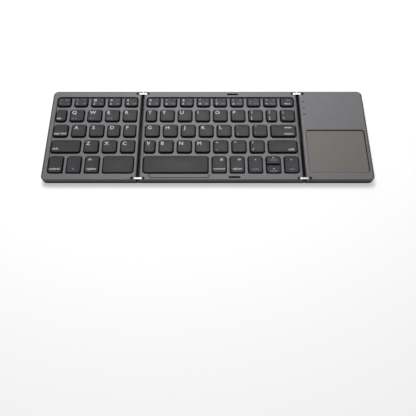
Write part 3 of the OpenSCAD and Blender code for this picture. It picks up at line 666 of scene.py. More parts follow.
@dataclass(frozen=True)
class Moulded(Finish):
    """Paint, rubber or moulded plastic: a colour under a fine grain.

    grain_size is the width of a speckle, contrast how much it changes the colour, and depth how far it
    stands out. rubbed is how much smoother the middle of a key is than its edges, and reach how far from
    the middle the polish goes. extra holds plain values of other inputs.
    """

    colour: Colour
    roughness: float
    grain_size: float = 0.16 * MM
    contrast: float = 0.25
    depth: float = 0.004 * MM
    shine: float = 0.5
    spread: float = 0.12
    rubbed: float = 0.0
    reach: float = 0.9
    extra: tuple[tuple[str, object], ...] = ()

    def inputs(self, graph: Graph, effects: Effects) -> dict[str, object]:
        """The colour and its grain, rubbed smooth where it says so."""
        grain = graph.effect(
            effects.grain, Colour=self.colour_in(graph), Roughness=self.roughness,
            Per_Metre=1 / self.grain_size, Contrast=self.contrast, Roughness_Spread=self.spread)
        rough = grain["Roughness"]
        if self.rubbed:
            mask = graph.effect(effects.polish, Reach=self.reach)["Mask"]
            rough = graph.math("MULTIPLY_ADD", mask, -self.rubbed, rough)
        height = self.height_in(graph, grain["Height"])
        return {
            "Base Color": grain["Colour"], "Roughness": rough, "Specular IOR Level": self.shine,
            "Normal": self.relief(graph, height, self.depth), **dict(self.extra)}

    def colour_in(self, graph: Graph) -> object:
        """The colour before its grain."""
        del graph
        return self.colour

    def height_in(self, graph: Graph, grain: object) -> object:
        """The height that the light shows, which is that of the grain."""
        del graph
        return grain


@dataclass(frozen=True)
class KeyPlastic(Moulded):
    """The keycaps' plastic: its colour on the top, and a darker colour on the sides that is painted shade,
    for sides that face away from the light.

    edge_from and edge_to are the heights between which the top's colour gives way to the painted shade.
    """

    # sides: painted shade, the dark that sides facing away from the light show
    sides: Colour = rgb(24, 24, 25)
    edge_from: float = 6.9 * MM
    edge_to: float = 7.35 * MM

    def colour_in(self, graph: Graph) -> object:
        """The key colour above the edge, and the painted shade of the sides below it."""
        above_shade = graph.range(graph.split(graph.place())[2], self.edge_from, self.edge_to)
        return graph.blend(above_shade, self.sides, self.colour)


@dataclass(frozen=True)
class Well:
    """A sunken place, which the frame paint fills with painted shade: all that lies below z in a box from
    above.
    """

    x0: float
    y0: float
    x1: float
    y1: float
    z: float

    def inside(self, graph: Graph, place: object) -> object:
        """A value that is 1 in the well and 0 outside, for a place split into X, Y and Z."""
        sides = [
            graph.math("LESS_THAN", graph.away(place[axis], (low + high) / 2), (high - low) / 2)
            for axis, low, high in ((0, self.x0, self.x1), (1, self.y0, self.y1))]
        below = graph.math("LESS_THAN", place[2], self.z)
        return graph.math("MULTIPLY", graph.math("MULTIPLY", *sides), below)


@dataclass(frozen=True)
class FramePaint(Moulded):
    """Satin paint on the top frames, which gives way to a dark colour in three places: a strip at each fold,
    for the dark plastic there and for the shade in the groove between the panels; the broken edges of the two
    free ends, where the dark colour is painted shade; and narrow wells, where it is painted shade too.

    folds are the X of the fold lines, and bare is half the width of the dark strip at each. end is the X of
    the right free end, and the left one is its mirror image. under is the dark colour: plastic and painted
    shade at the folds, painted shade within edge of an end and in the wells. soft is half the width of a
    brink.
    """

    folds: tuple[float, float] = (-1.0, 1.0)
    end: float = 1.0
    bare: float = 1.6 * MM
    soft: float = 0.12 * MM
    edge: float = 1.5 * MM
    # under: dark plastic with the groove's painted shade at the folds, and painted shade at the ends and in
    # the wells
    under: Colour = rgb(30, 30, 31)
    wells: tuple[Well, ...] = ()

    def colour_in(self, graph: Graph) -> object:
        """Paint away from the folds, the wells and the ends, and the dark colour there: painted shade, and
        dark plastic as well at the folds.
        """
        place = graph.split(graph.place())
        near = graph.math("MINIMUM", *(graph.away(place[0], fold) for fold in self.folds))
        painted = graph.range(near, self.bare - self.soft, self.bare + self.soft)
        # painted shade in the wells
        for well in self.wells:
            outside = graph.math("SUBTRACT", 1.0, well.inside(graph, place))
            painted = graph.math("MULTIPLY", painted, outside)
        # painted shade on the broken edges of the free ends
        brink = self.end - self.edge
        end_shade = graph.range(graph.math("ABSOLUTE", place[0]), brink - self.soft, brink + self.soft)
        return graph.blend(painted, self.under, graph.blend(end_shade, self.colour, self.under))


@dataclass(frozen=True)
class Metal(Finish):
    """Bright or dull metal with fine streaks.

    streaks are how many there are to a metre along X, Y and Z, so the lowest is the way that they run.
    tint is the share of the colour in the troughs and on the ridges of the streaks.
    """

    colour: Colour
    roughness: float
    streaks: tuple[float, float, float]
    spread: float = 0.1
    depth: float = 0.0006 * MM
    tint: tuple[float, float] = (0.94, 1.04)

    def inputs(self, graph: Graph, effects: Effects) -> dict[str, object]:
        """The colour, the roughness and the relief of the streaks."""
        brushed = graph.effect(
            effects.brushing, Streaks=self.streaks, Roughness=self.roughness, Spread=self.spread)
        share = graph.range(brushed["Height"], 0.2, 0.8, *self.tint)
        return {
            "Base Color": graph.scaled(self.colour[:3], share), "Roughness": brushed["Roughness"],
            "Metallic": 1.0, "Normal": self.relief(graph, brushed["Height"], self.depth)}


@dataclass(frozen=True)
class Tracks(Moulded):
    """A circuit board or a flex cable: tracks under a lacquer of its colour.

    pitch is the distance between tracks, which run along X on a cable, and wander on a board.
    """

    track: Colour = rgb(40, 36, 30)
    pitch: float = 1.0 * MM
    wander: float = 0.0

    def lines(self, graph: Graph) -> bpy.types.NodeSocket:
        """1 on a track and 0 between tracks."""
        wave = graph.add("ShaderNodeTexWave", {
            "Vector": graph.place(), "Scale": 1 / (self.pitch * math.tau), "Distortion": self.wander,
            "Detail": 1.0, "Detail Scale": 0.15}, bands_direction="Y")
        return graph.range(wave.outputs["Fac"], 0.45, 0.6)

    def colour_in(self, graph: Graph) -> object:
        """The lacquer's colour between the tracks, and theirs on them."""
        return graph.blend(self.lines(graph), self.colour, self.track)

    def height_in(self, graph: Graph, grain: object) -> object:
        """The tracks stand out, and the lacquer has no grain."""
        del grain
        return self.lines(graph)


@dataclass(frozen=True)
class Foil(Moulded):
    """The battery's metallised pouch, a little crumpled. crease is the distance between its creases."""

    crease: float = 3 * MM

    def height_in(self, graph: Graph, grain: object) -> object:
        """The creases, in place of the grain."""
        del grain
        folds = graph.add("ShaderNodeTexVoronoi", {"Vector": graph.place(), "Scale": 1 / self.crease})
        return folds.outputs[0]


class Ink(Enum):
    """The two inks on the keys."""

    WHITE = "white"
    BLUE = "blue"


class Workshop:
    """Holds every finish of the keyboard, each built once."""

    def __init__(self, folds: tuple[float, float], end: float, wells: tuple[Well, ...]) -> None:
        """Builds the finishes.

        Args:
            folds: X of the two fold lines.
            end: X of the right free end.
            wells: the places in the top frames that get painted shade in place of the paint.
        """
        effects = Effects()
        fine = 0.1 * MM
        coat = (("Coat Weight", 0.3), ("Coat Roughness", 0.3))
        clear = (("Subsurface Weight", 0.3), ("Subsurface Radius", (1.0, 1.0, 1.0)),
                 ("Subsurface Scale", 0.8 * MM))
        lacquered = {"roughness": 0.38, "grain_size": 0.2 * MM, "contrast": 0.15, "depth": 0.02 * MM,
                     "spread": 0.1}
        finishes = {
            Slot.PAINT: FramePaint(
                rgb(106, 106, 109), 0.45, shine=1.0, folds=folds, end=end, wells=wells),
            Slot.COVER: Moulded(rgb(62, 62, 63), 0.55, 0.25 * MM, depth=0.008 * MM),
            Slot.KEY: KeyPlastic(rgb(52, 52, 54), 0.5, contrast=0.3, rubbed=0.1),
            Slot.PLATE: Metal(rgb(72, 72, 74), 0.45, (300.0, 6000.0, 6000.0)),
            Slot.DOME: Moulded(rgb(30, 30, 32), 0.5, contrast=0.1),
            Slot.SCISSOR: Moulded(rgb(38, 38, 40), 0.45, contrast=0.1),
            Slot.SCREW: Metal(rgb(150, 151, 154), 0.3, (5000.0, 5000.0, 900.0)),
            Slot.BLOCK: Metal(rgb(128, 128, 131), 0.45, (2500.0, 2500.0, 2500.0), 0.2),
            Slot.RUBBER: Moulded(rgb(14, 14, 14), 0.75, contrast=0.4, shine=0.2),
            Slot.LINK: Metal(rgb(222, 222, 225), 0.12, (500.0, 9000.0, 9000.0), 0.06),
            Slot.PIN: Metal(rgb(168, 168, 172), 0.28, (9000.0, 900.0, 9000.0)),
            Slot.FLEX: Tracks(rgb(22, 22, 23), **lacquered),
            Slot.PAD: Moulded(rgb(112, 108, 105), 0.42, fine, 0.12, 0.002 * MM, spread=0.1, rubbed=0.07,
                              reach=1.1, extra=coat),
            Slot.BOARD: Tracks(rgb(22, 74, 48), **lacquered, track=rgb(58, 122, 80), pitch=0.9 * MM,
                               wander=14.0),
            Slot.BATTERY: Foil(rgb(188, 190, 194), 0.35, 0.3 * MM, 0.1, 0.1 * MM, spread=0.2,
                               extra=(("Metallic", 0.8),)),
            Slot.PORT: Metal(rgb(190, 190, 194), 0.22, (900.0, 6000.0, 900.0)),
            Slot.LENS: Moulded(rgb(58, 60, 62), 0.25, fine, 0.1, extra=clear),
        }
        inks = {Ink.WHITE: rgb(206, 206, 210), Ink.BLUE: rgb(124, 128, 158)}
        self.slots = {slot: finish.build(slot.value, effects) for slot, finish in finishes.items()}
        self.inks = {
            ink: Moulded(colour, 0.55, fine, 0.15, 0.001 * MM).build(f"{ink.value}_ink", effects)
            for ink, colour in inks.items()}
        self.tongue = Moulded(rgb(24, 24, 25), 0.4, contrast=0.1).build("port_tongue", effects)

    def paint_node(self, node: bpy.types.Object, slot: Slot) -> None:
        """Gives a frame node whose shape is right its finish."""
        node.data.materials.clear()
        node.data.materials.append(self.slots[slot])


# ---- Keys ----


class Column(Enum):
    """Where print stands from left to right on a key."""

    LEFT = -1
    MIDDLE = 0
    RIGHT = 1


class Line(Enum):
    """Where print stands from back to front on a key."""

    BACK = 1
    FRONT = -1


class Sign(Enum):
    """Plain signs that are drawn and not written, as outlines one unit high round their middle."""

    LEFT = ((-0.5, 0.0), (0.4, -0.5), (0.4, 0.5))
    RIGHT = ((0.5, 0.0), (-0.4, 0.5), (-0.4, -0.5))
    UP = ((0.0, 0.5), (-0.5, -0.4), (0.5, -0.4))
    DOWN = ((0.0, -0.5), (0.5, 0.4), (-0.5, 0.4))


@dataclass(frozen=True)
class Mark:
    """One piece of print on a key, with distances in millimetres.

    height is that of a capital letter, side the distance from the cap's left or right edge, and end that
    from its back or front edge.
    """

    what: str | Sign
    column: Column = Column.LEFT
    line: Line = Line.BACK
    ink: Ink = Ink.WHITE
    height: float = 2.1
    side: float = 1.9
    end: float = 1.6


Marks = tuple[Mark, ...]


def letter(name: str, note: str = "", side: float = 1.9, end: float = 1.5) -> Marks:
    """Print of a letter key, with a small note in blue."""
    marks = (Mark(name, height=3.5, side=side, end=end),)
    return marks + (Mark(note, line=Line.FRONT, ink=Ink.BLUE, height=1.8, end=2.6),) if note else marks


def number(upper: str, lower: str, over: str, function: str) -> Marks:
    """Print of a key in the number row: two signs in white, two in blue."""
    return (
        Mark(upper, side=2.2), Mark(lower, line=Line.FRONT, side=2.2, end=2.2),
        Mark(over, Column.RIGHT, ink=Ink.BLUE, height=1.9),
        Mark(function, Column.RIGHT, Line.FRONT, Ink.BLUE, 1.9, end=2.3),
    )


def pair(upper: str, lower: str) -> Marks:
    """Print of a punctuation key."""
    sizes = {"height": 2.5, "side": 2.4}
    return (Mark(upper, **sizes, end=1.3), Mark(lower, line=Line.FRONT, **sizes, end=2.7))


def word(text: str, end: float, column: Column = Column.LEFT, side: float = 1.3,
         line: Line = Line.FRONT) -> Marks:
    """A small word."""
    return (Mark(text, column, line, side=side, end=end),)


def arrow(sign: Sign, note: str, sign_end: float = 3.0, note_end: float = 3.6) -> Marks:
    """Print of an arrow key: the arrow over a word in blue."""
    return (
        Mark(sign, Column.MIDDLE, height=1.5, end=sign_end),
        Mark(note, Column.MIDDLE, Line.FRONT, Ink.BLUE, 1.8, end=note_end))


class Press:
    """Sets generic words and signs as thin raised print.

    weight is how much bolder the type is than the built-in face, at a type size of 1, and wide how much
    wider. The outlines of doubled fold over themselves when made bolder, so these letters are set twice, a
    little apart, and the second is lower by a share.
    """

    thickness = 0.02 * MM
    sunk = 0.008 * MM
    weight = 0.016
    wide = 1.1
    doubled = ("M",)
    lower_share = 0.9

    def __init__(self) -> None:
        """Starts with nothing set."""
        self._set: dict[str, Skin] = {}

    @cached_property
    def capital(self) -> float:
        """Height of a capital letter at a type size of 1."""
        return float(self._type("H").points[:, 1].max())

    def _type(self, text: str) -> Skin:
        """The words at a type size of 1, as a slab one unit thick, on their baseline."""
        if text not in self._set:
            curve = bpy.data.curves.new(text, "FONT")
            curve.body = text
            curve.resolution_u = 3
            curve.extrude = 0.5
            curve.offset = 0.0 if text in self.doubled else self.weight
            obj = bpy.data.objects.new("type", curve)
            mesh = bpy.data.meshes.new_from_object(obj)
            points, corners, counts = arrays(mesh)
            skin = Skin(points, corners, counts)
            if text in self.doubled:
                shift = np.array([self.weight, 0.0, 0.0])
                lower = Skin(points * np.array([1.0, 1.0, self.lower_share]) + shift, corners, counts)
                skin = merged([Skin(points - shift, corners, counts), lower])
            self._set[text] = skin
            bpy.data.objects.remove(obj)
            bpy.data.curves.remove(curve)
            bpy.data.meshes.remove(mesh)
        return self._set[text]

    def set(self, mark: Mark) -> Skin:
        """One mark at its real size, its left end at X 0 and its baseline at Y 0, from Z 0 to 1.

        A sign stands on the baseline and is as high as a capital letter.
        """
        height = mark.height * MM
        if isinstance(mark.what, Sign):
            flat = np.array(mark.what.value) * height
            return prism(flat - flat.min(0), 0.0, 1.0)
        slab = self._type(mark.what)
        scale = height / self.capital
        points = slab.points * np.array([self.wide * scale, scale, 1.0]) + np.array([0, 0, 0.5])
        points[:, 0] -= points[:, 0].min()
        return Skin(points, slab.corners, slab.counts)


@dataclass(frozen=True)
class Keycap:
    """One keycap: a shell with leaning sides, a rounded upper edge and a shallow dish.

    shape is its outline at the skirt, skirt and top are the heights of its lower and upper ends, and
    plunger that of the plunger's foot. The sides lean in by lean, and the front by front_lean more. Ring t
    of dish_steps is the top's outline drawn towards the middle, to t of its size. bar is the homing bar's
    length, width and height, and bar_y its distance from the front.
    """

    shape: Rounded
    skirt: float
    top: float
    plunger: float
    lean: float = 0.5 * MM
    front_lean: float = 0.4 * MM
    edge: float = 0.32 * MM
    skirt_edge: float = 0.08 * MM
    roof: float = 0.7 * MM
    wall: float = 0.9 * MM
    dish: float = 0.14 * MM
    plunger_r: float = 1.2 * MM
    plunger_edge: float = 0.05 * MM
    plunger_root: float = 0.2 * MM
    dish_steps: tuple[float, ...] = (0.94, 0.84, 0.68, 0.5, 0.3, 0.12)
    bar: tuple[float, float, float] = (3.4 * MM, 0.5 * MM, 0.15 * MM)
    bar_y: float = 2.4 * MM
    bar_sunk: float = 0.05 * MM
    bar_edge: float = 0.1 * MM

    @property
    def face(self) -> tuple[float, float, float, float]:
        """The top's left, front, right and back edges."""
        s, inset = self.shape, self.lean
        return s.x0 + inset, s.y0 + inset + self.front_lean, s.x1 - inset, s.y1 - inset

    def covers(self, points: np.ndarray) -> np.ndarray:
        """Which points (n, 3) lie within the cap's outline, seen from above."""
        s, x, y = self.shape, points[:, 0], points[:, 1]
        return (x > s.x0) & (x < s.x1) & (y > s.y0) & (y < s.y1)

    def height(self, x: np.ndarray, y: np.ndarray) -> np.ndarray:
        """Height of the top at a place: the flat top less dish (1 - u^2) (1 - v^2), where u and v run
        from -1 to 1 over the top."""
        x0, y0, x1, y1 = self.face
        u = np.clip((2 * x - x0 - x1) / (x1 - x0), -1, 1)
        v = np.clip((2 * y - y0 - y1) / (y1 - y0), -1, 1)
        return self.top - self.dish * (1 - u**2) * (1 - v**2)

    def leant(self, rings: np.ndarray, share: np.ndarray) -> np.ndarray:
        """Rings with their front drawn back: y becomes back - (back - y) (1 - share front_lean / depth).

        Args:
            rings: array (k, n, 3).
            share: how much of the front's lean each ring has, (k,).

        Returns:
            The moved rings.
        """
        back, depth = self.shape.y1, self.shape.y1 - self.shape.y0
        moved = rings.copy()
        moved[..., 1] = back - (back - rings[..., 1]) * (1 - share[:, None] * self.front_lean / depth)
        return moved

    def skin(self) -> Skin:
        """The cap and its plunger: rings from the middle of the inner roof down the skirt, up the side,
        over the edge and in over the top."""
        over_in, over_down = rounding(self.edge, 5)
        side_h = self.top - self.edge - self.skirt
        b = self.skirt_edge
        insets = np.concatenate([[self.wall, self.wall, b, 0.0, self.lean / 2], self.lean + over_in])
        heights = np.concatenate([
            [self.top - self.roof, self.skirt, self.skirt, self.skirt + b, self.skirt + side_h / 2],
            self.top - over_down])
        share = np.concatenate([[0.0, 0.0, 0.0, 0.0, 0.5], np.ones(len(over_in))])
        rings = self.leant(raised(self.shape.rings(insets), heights), share)
        middle = rings[-1:].mean(1, keepdims=True)
        inner = middle + np.array(self.dish_steps)[:, None, None] * (rings[-1:] - middle)
        rings = np.concatenate([rings, inner])
        upper = slice(len(insets) - len(over_in), None)
        flat_top = np.where(np.arange(len(rings)) < len(insets), rings[:, 0, 2], self.top)
        rings[..., 2] = flat_top[:, None]
        rings[upper, :, 2] -= self.top - self.height(rings[upper, :, 0], rings[upper, :, 1])
        cap = self._mapped(stacked(rings))
        return merged([cap, self._mapped(self._plunger())])

    def _plunger(self) -> Skin:
        """The round plunger under the roof, which presses the dome."""
        root = self.top - self.roof + self.plunger_root
        around = disc(*self.shape.middle, self.plunger_r)
        return pillow(around, self.plunger, root, self.plunger_edge, self.plunger_root, 3)

    def _mapped(self, skin: Skin) -> Skin:
        """The skin with a map that runs from 0 to 1 over the cap, seen from above."""
        s = self.shape
        low, high = np.array([s.x0, s.y0]), np.array([s.x1, s.y1])
        skin.spread = (skin.points[:, :2] - low) / (high - low)
        return skin

    def homing_bar(self) -> Skin:
        """The raised bar that a finger finds on the F and J keys."""
        length, width, height = self.bar
        x = self.shape.middle[0]
        y = self.shape.y0 + self.bar_y
        r = width / 2
        z = float(self.height(np.array(x), np.array(y)))
        around = Rounded(x - length / 2, y - r, x + length / 2, y + r, (r, r, r, r))
        return self._mapped(pillow(around, z - self.bar_sunk, z + height, self.bar_edge, 0.0, 3))

    def printed(self, mark: Mark, press: Press) -> Skin:
        """One mark laid on the dish, at its distances from the cap's edges."""
        slab = press.set(mark)
        wide = slab.points[:, 0].max()
        s = self.shape
        side, end, height = np.array([mark.side, mark.end, mark.height]) * MM
        x = {
            Column.LEFT: s.x0 + side,
            Column.MIDDLE: (s.x0 + s.x1 - wide) / 2,
            Column.RIGHT: s.x1 - side - wide,
        }[mark.column]
        y = s.y1 - end - height if mark.line is Line.BACK else s.y0 + end
        points = slab.points + np.array([x, y, 0.0])
        points[:, 2] *= press.thickness
        points[:, 2] += self.height(points[:, 0], points[:, 1]) - press.sunk
        return Skin(points, slab.corners, slab.counts)


F_NOTES = (("<<", "F1"), (">", "F2"), (">>", "F3"), ("-", "F4"), ("+", "F5"), ("*", "F6"), ("o", "F7"),
           ("::", "F8"), ("=", "F9"), ("[]", "F10"), ("<>", "F11"), ("#", "F12"))
NUMBERS = ("!1", "@2", "#3", "$4", "%5", "^6", "&7", "*8", "(9", ")0", "_-", "+=")
NUMBER_KEYS = tuple(number(signs[0], signs[1], *notes) for signs, notes in zip(NUMBERS, F_NOTES))

PRINT: dict[str, tuple[Marks, ...]] = {
    "esc_key": (number("~", "`", "esc", "o"),),
    "left_number_keys": NUMBER_KEYS[:4],
    "tab_key": (word("tab", 2.5, side=1.4),),
    "left_upper_letter_keys": (letter("Q", "ch 1"), letter("W", "ch 2"), letter("E", "ch 3"), letter("R")),
    "caps_lock_key": (word("caps lock", 2.8, side=0.8),),
    "left_home_letter_keys": tuple(letter(c, side=2.4) for c in "ASDF"),
    "left_shift_key": (word("shift", 3.3, side=1.6),),
    "left_lower_letter_keys": tuple(letter(c, end=1.7) for c in "ZXC"),
    "control_key": (word("control", 3.7),),
    "fn_key": ((Mark("fn", Column.MIDDLE, Line.FRONT, Ink.BLUE, 1.9, end=3.7),),),
    "left_alt_key": (word("alt", 2.3, side=2.8, line=Line.BACK) + word("option", 3.7, Column.MIDDLE),),
    "left_space_key": ((),),
    "centre_number_keys": NUMBER_KEYS[4:],
    "backspace_key": ((Mark(Sign.LEFT, line=Line.FRONT, height=1.7, side=3.8, end=2.4),
                       Mark("back", Column.RIGHT, Line.FRONT, height=1.5, side=2.7, end=2.5),
                       Mark("del", Column.RIGHT, ink=Ink.BLUE, height=1.7, side=3.6)),),
    "centre_upper_letter_keys": tuple(letter(c) for c in "TYUIOP") + (
        pair("{", "["), pair("}", "]"), pair("|", "\\")),
    "centre_home_letter_keys": tuple(letter(c, side=2.4) for c in "GHJKL") + (pair(":", ";"), pair('"', "'")),
    "enter_key": (word("enter", 2.0, Column.RIGHT, 3.4, Line.BACK) + word("return", 2.5, Column.RIGHT, 2.9),),
    "centre_lower_letter_keys": tuple(letter(c, end=1.7) for c in "VBNM") + (
        pair("<", ","), pair(">", "."), pair("?", "/")),
    "right_shift_key": (word("shift", 2.5, Column.RIGHT, 2.9),),
    "right_space_key": ((),),
    "command_key": ((Mark("#", Column.RIGHT, height=2.9, side=2.9, end=1.9),
                     Mark("command", Column.MIDDLE, Line.FRONT, height=1.7, end=3.9)),),
    "right_alt_key": (word("alt", 2.3, Column.RIGHT, 2.9, Line.BACK) + word("option", 3.7, Column.MIDDLE),),
    "left_arrow_key": (arrow(Sign.LEFT, "home"),),
    "up_arrow_key": (arrow(Sign.UP, "pg up", 0.6, 4.4),),
    "down_arrow_key": (arrow(Sign.DOWN, "pg dn", 3.5, 1.7),),
    "right_arrow_key": (arrow(Sign.RIGHT, "end"),),
}
HOMING = {"left_home_letter_keys": 3, "centre_home_letter_keys": 2}


@dataclass(frozen=True)
class Springs:
    """What gives way under a panel's keys: rubber domes on a sheet, and scissor loops.

    The loops and the domes under each key node are pieces of their own. side names the panel's nodes, and
    body is the panel's body.
    """

    side: str
    body: str
    loop_share: float = 0.49
    dome_share: float = 0.06
    dome_profile: tuple[tuple[float, float], ...] = ((0.0, 0.0), (0.1, 0.14), (0.8, 0.86), (1.0, 1.0))

    def build(self, frame: Frame, shop: Workshop, caps: dict[str, list[Keycap]]) -> None:
        """Makes the sheet, and the domes and loops under the caps of each key node.

        Args:
            frame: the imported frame.
            shop: the finishes.
            caps: each key node's caps.
        """
        sheet, loops = f"{self.side}_dome_sheet", f"{self.side}_key_scissors"
        points, faces = welded(frame["nodes"][sheet])
        floor = points[points[:, 0] < points[:, 0].min() + NEAR, 2].max()
        flat = np.minimum(points, [np.inf, np.inf, floor])
        self.place(f"{sheet}_flat", triangle_skin(flat, faces), shop, Slot.DOME, sheet)
        loop_points, loop_faces = welded(frame["nodes"][loops])
        middles = loop_points[loop_faces].mean(1)
        for node, shells in caps.items():
            domes = merged([self.dome(cap, points, floor) for cap in shells])
            obj = self.place(f"{node}_domes", domes, shop, Slot.DOME, sheet)
            self.flatten(obj, node, floor, self.dome_share)
            there = np.any([cap.covers(middles) for cap in shells], 0)
            pairs = triangle_skin(loop_points, loop_faces[there])
            obj = self.place(f"{node}_scissors", pairs, shop, Slot.SCISSOR, loops)
            self.flatten(obj, node, floor, self.loop_share)

    def place(self, name: str, skin: Skin, shop: Workshop, slot: Slot, node: str) -> bpy.types.Object:
        """Puts a piece on the panel, where it stands for a frame node."""
        return dressed(skin_object(name, skin, shop.slots[slot]), self.body, [node])

    @staticmethod
    def flatten(obj: bpy.types.Object, key: str, floor: float, share: float) -> None:
        """Gives a piece a mesh of its own."""
        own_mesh(obj)

    def dome(self, cap: Keycap, points: np.ndarray, floor: float) -> Skin:
        """The round dome under a cap, as wide and high as in the frame.

        Its rings go in from the foot to the top as dome_profile says, in shares of the way in and up.
        """
        mine = points[cap.covers(points) & (points[:, 2] > floor - NEAR)]
        top = mine[:, 2].max()
        x, y = cap.shape.middle
        away = np.hypot(mine[:, 0] - x, mine[:, 1] - y)
        upper = mine[:, 2] > top - NEAR
        head = away[upper].max()
        foot = away[~upper & (away < 2 * head)].max()
        way_in, way_up = np.array(self.dome_profile).T
        rings = disc(x, y, foot).rings(way_in * (foot - head))
        return stacked(raised(rings, floor + way_up * (top - floor)))


@dataclass
class KeyBlock:
    """The keys of one panel, which share a recess with larger corners, and what gives way under them.

    rows lists the key nodes from the back row to the front row, from left to right.
    """

    springs: Springs
    rows: tuple[tuple[str, ...], ...]
    corner: float = 2.35 * MM
    block_corner: float = 2.95 * MM
    half_corner: float = 0.4 * MM
    plunger_reach: float = 0.15 * MM
    halves: tuple[str, ...] = ("up_arrow_key", "down_arrow_key")

    def radii(self, row: int, first: bool, last: bool, node: str) -> tuple[float, float, float, float]:
        """Corner radii of a cap: large where it stands at a corner of the block."""
        c, b, h = self.corner, self.block_corner, self.half_corner
        if node in self.halves:
            return (h, h, c, c) if node == self.halves[0] else (c, c, h, h)
        back, front = row == 0, row == len(self.rows) - 1
        return (
            b if front and first else c, b if front and last else c,
            b if back and last else c, b if back and first else c)

    def caps(self, row: int, node: str, obj: bpy.types.Object) -> list[Keycap]:
        """The caps of one node, sized by its solids in the frame. A homing bar stands over its cap's top, so
        the lowest of the solids' tops is that of all the caps."""
        nodes = self.rows[row]
        boxes = solid_boxes(obj)
        top = boxes[:, 1, 2].min()
        made = []
        for i, (low, high) in enumerate(boxes):
            first = node == nodes[0] and i == 0
            last = node == nodes[-1] and i == len(boxes) - 1
            shape = Rounded(low[0], low[1], high[0], high[1], self.radii(row, first, last, node))
            made.append(Keycap(shape, low[2] + self.plunger_reach, top, low[2]))
        return made

    def build(self, frame: Frame, shop: Workshop, press: Press) -> None:
        """Makes the caps and their print, each riding on its own key's body, and the springs."""
        made = {}
        for row, nodes in enumerate(self.rows):
            for node in nodes:
                caps = made[node] = self.caps(row, node, frame["nodes"][node])
                skins = [cap.skin() for cap in caps]
                if node in HOMING:
                    skins.append(caps[HOMING[node]].homing_bar())
                cap_obj = skin_object(f"{node}_cap", merged(skins), shop.slots[Slot.KEY])
                dressed(cap_obj, node, [node])
                for ink, material in shop.inks.items():
                    printed = [
                        cap.printed(mark, press)
                        for cap, marks in zip(caps, PRINT[node]) for mark in marks if mark.ink is ink]
                    if printed:
                        name = f"{node}_{ink.value}_print"
                        dressed(skin_object(name, merged(printed), material), node)
        self.springs.build(frame, shop, made)


# ---- Panels ----


@dataclass
class Panel:
    """A panel's own pieces.

    bare are the nodes whose frame shape is right, with the finish that each gets. pads are nodes of
    rubber strips, which get round ends and soft edges. edge and cover_edge are the widths of the frame's
    and the cover's broken edges.
    """

    name: str
    body: str
    bare: dict[str, Slot]
    pads: tuple[str, ...]
    edge: float = 0.14 * MM
    cover_edge: float = 0.2 * MM
    pad_edge: float = 0.25 * MM
    pad_flat: float = 0.1 * MM

    def build(self, frame: Frame, shop: Workshop) -> None:
        """Dresses the frame, the cover, the pads and what lies between them."""
        nodes = frame["nodes"]
        shells = (("top_frame", Slot.PAINT, self.edge), ("bottom_cover", Slot.COVER, self.cover_edge))
        for part, slot, edge in shells:
            node = f"{self.name}_{part}"
            shell = softened(nodes[node], f"{node}_shell", shop.slots[slot], edge)
            dressed(shell, self.body, [node])
        for node in self.pads:
            strips = pillows(nodes[node], self.pad_flat, self.pad_edge, self.pad_edge)
            pads = skin_object(f"{node}_strips", strips, shop.slots[Slot.RUBBER])
            dressed(pads, self.body, [node])
        for node, slot in self.bare.items():
            shop.paint_node(nodes[node], slot)
            LOG.info("%s wears %s", node, slot.value)


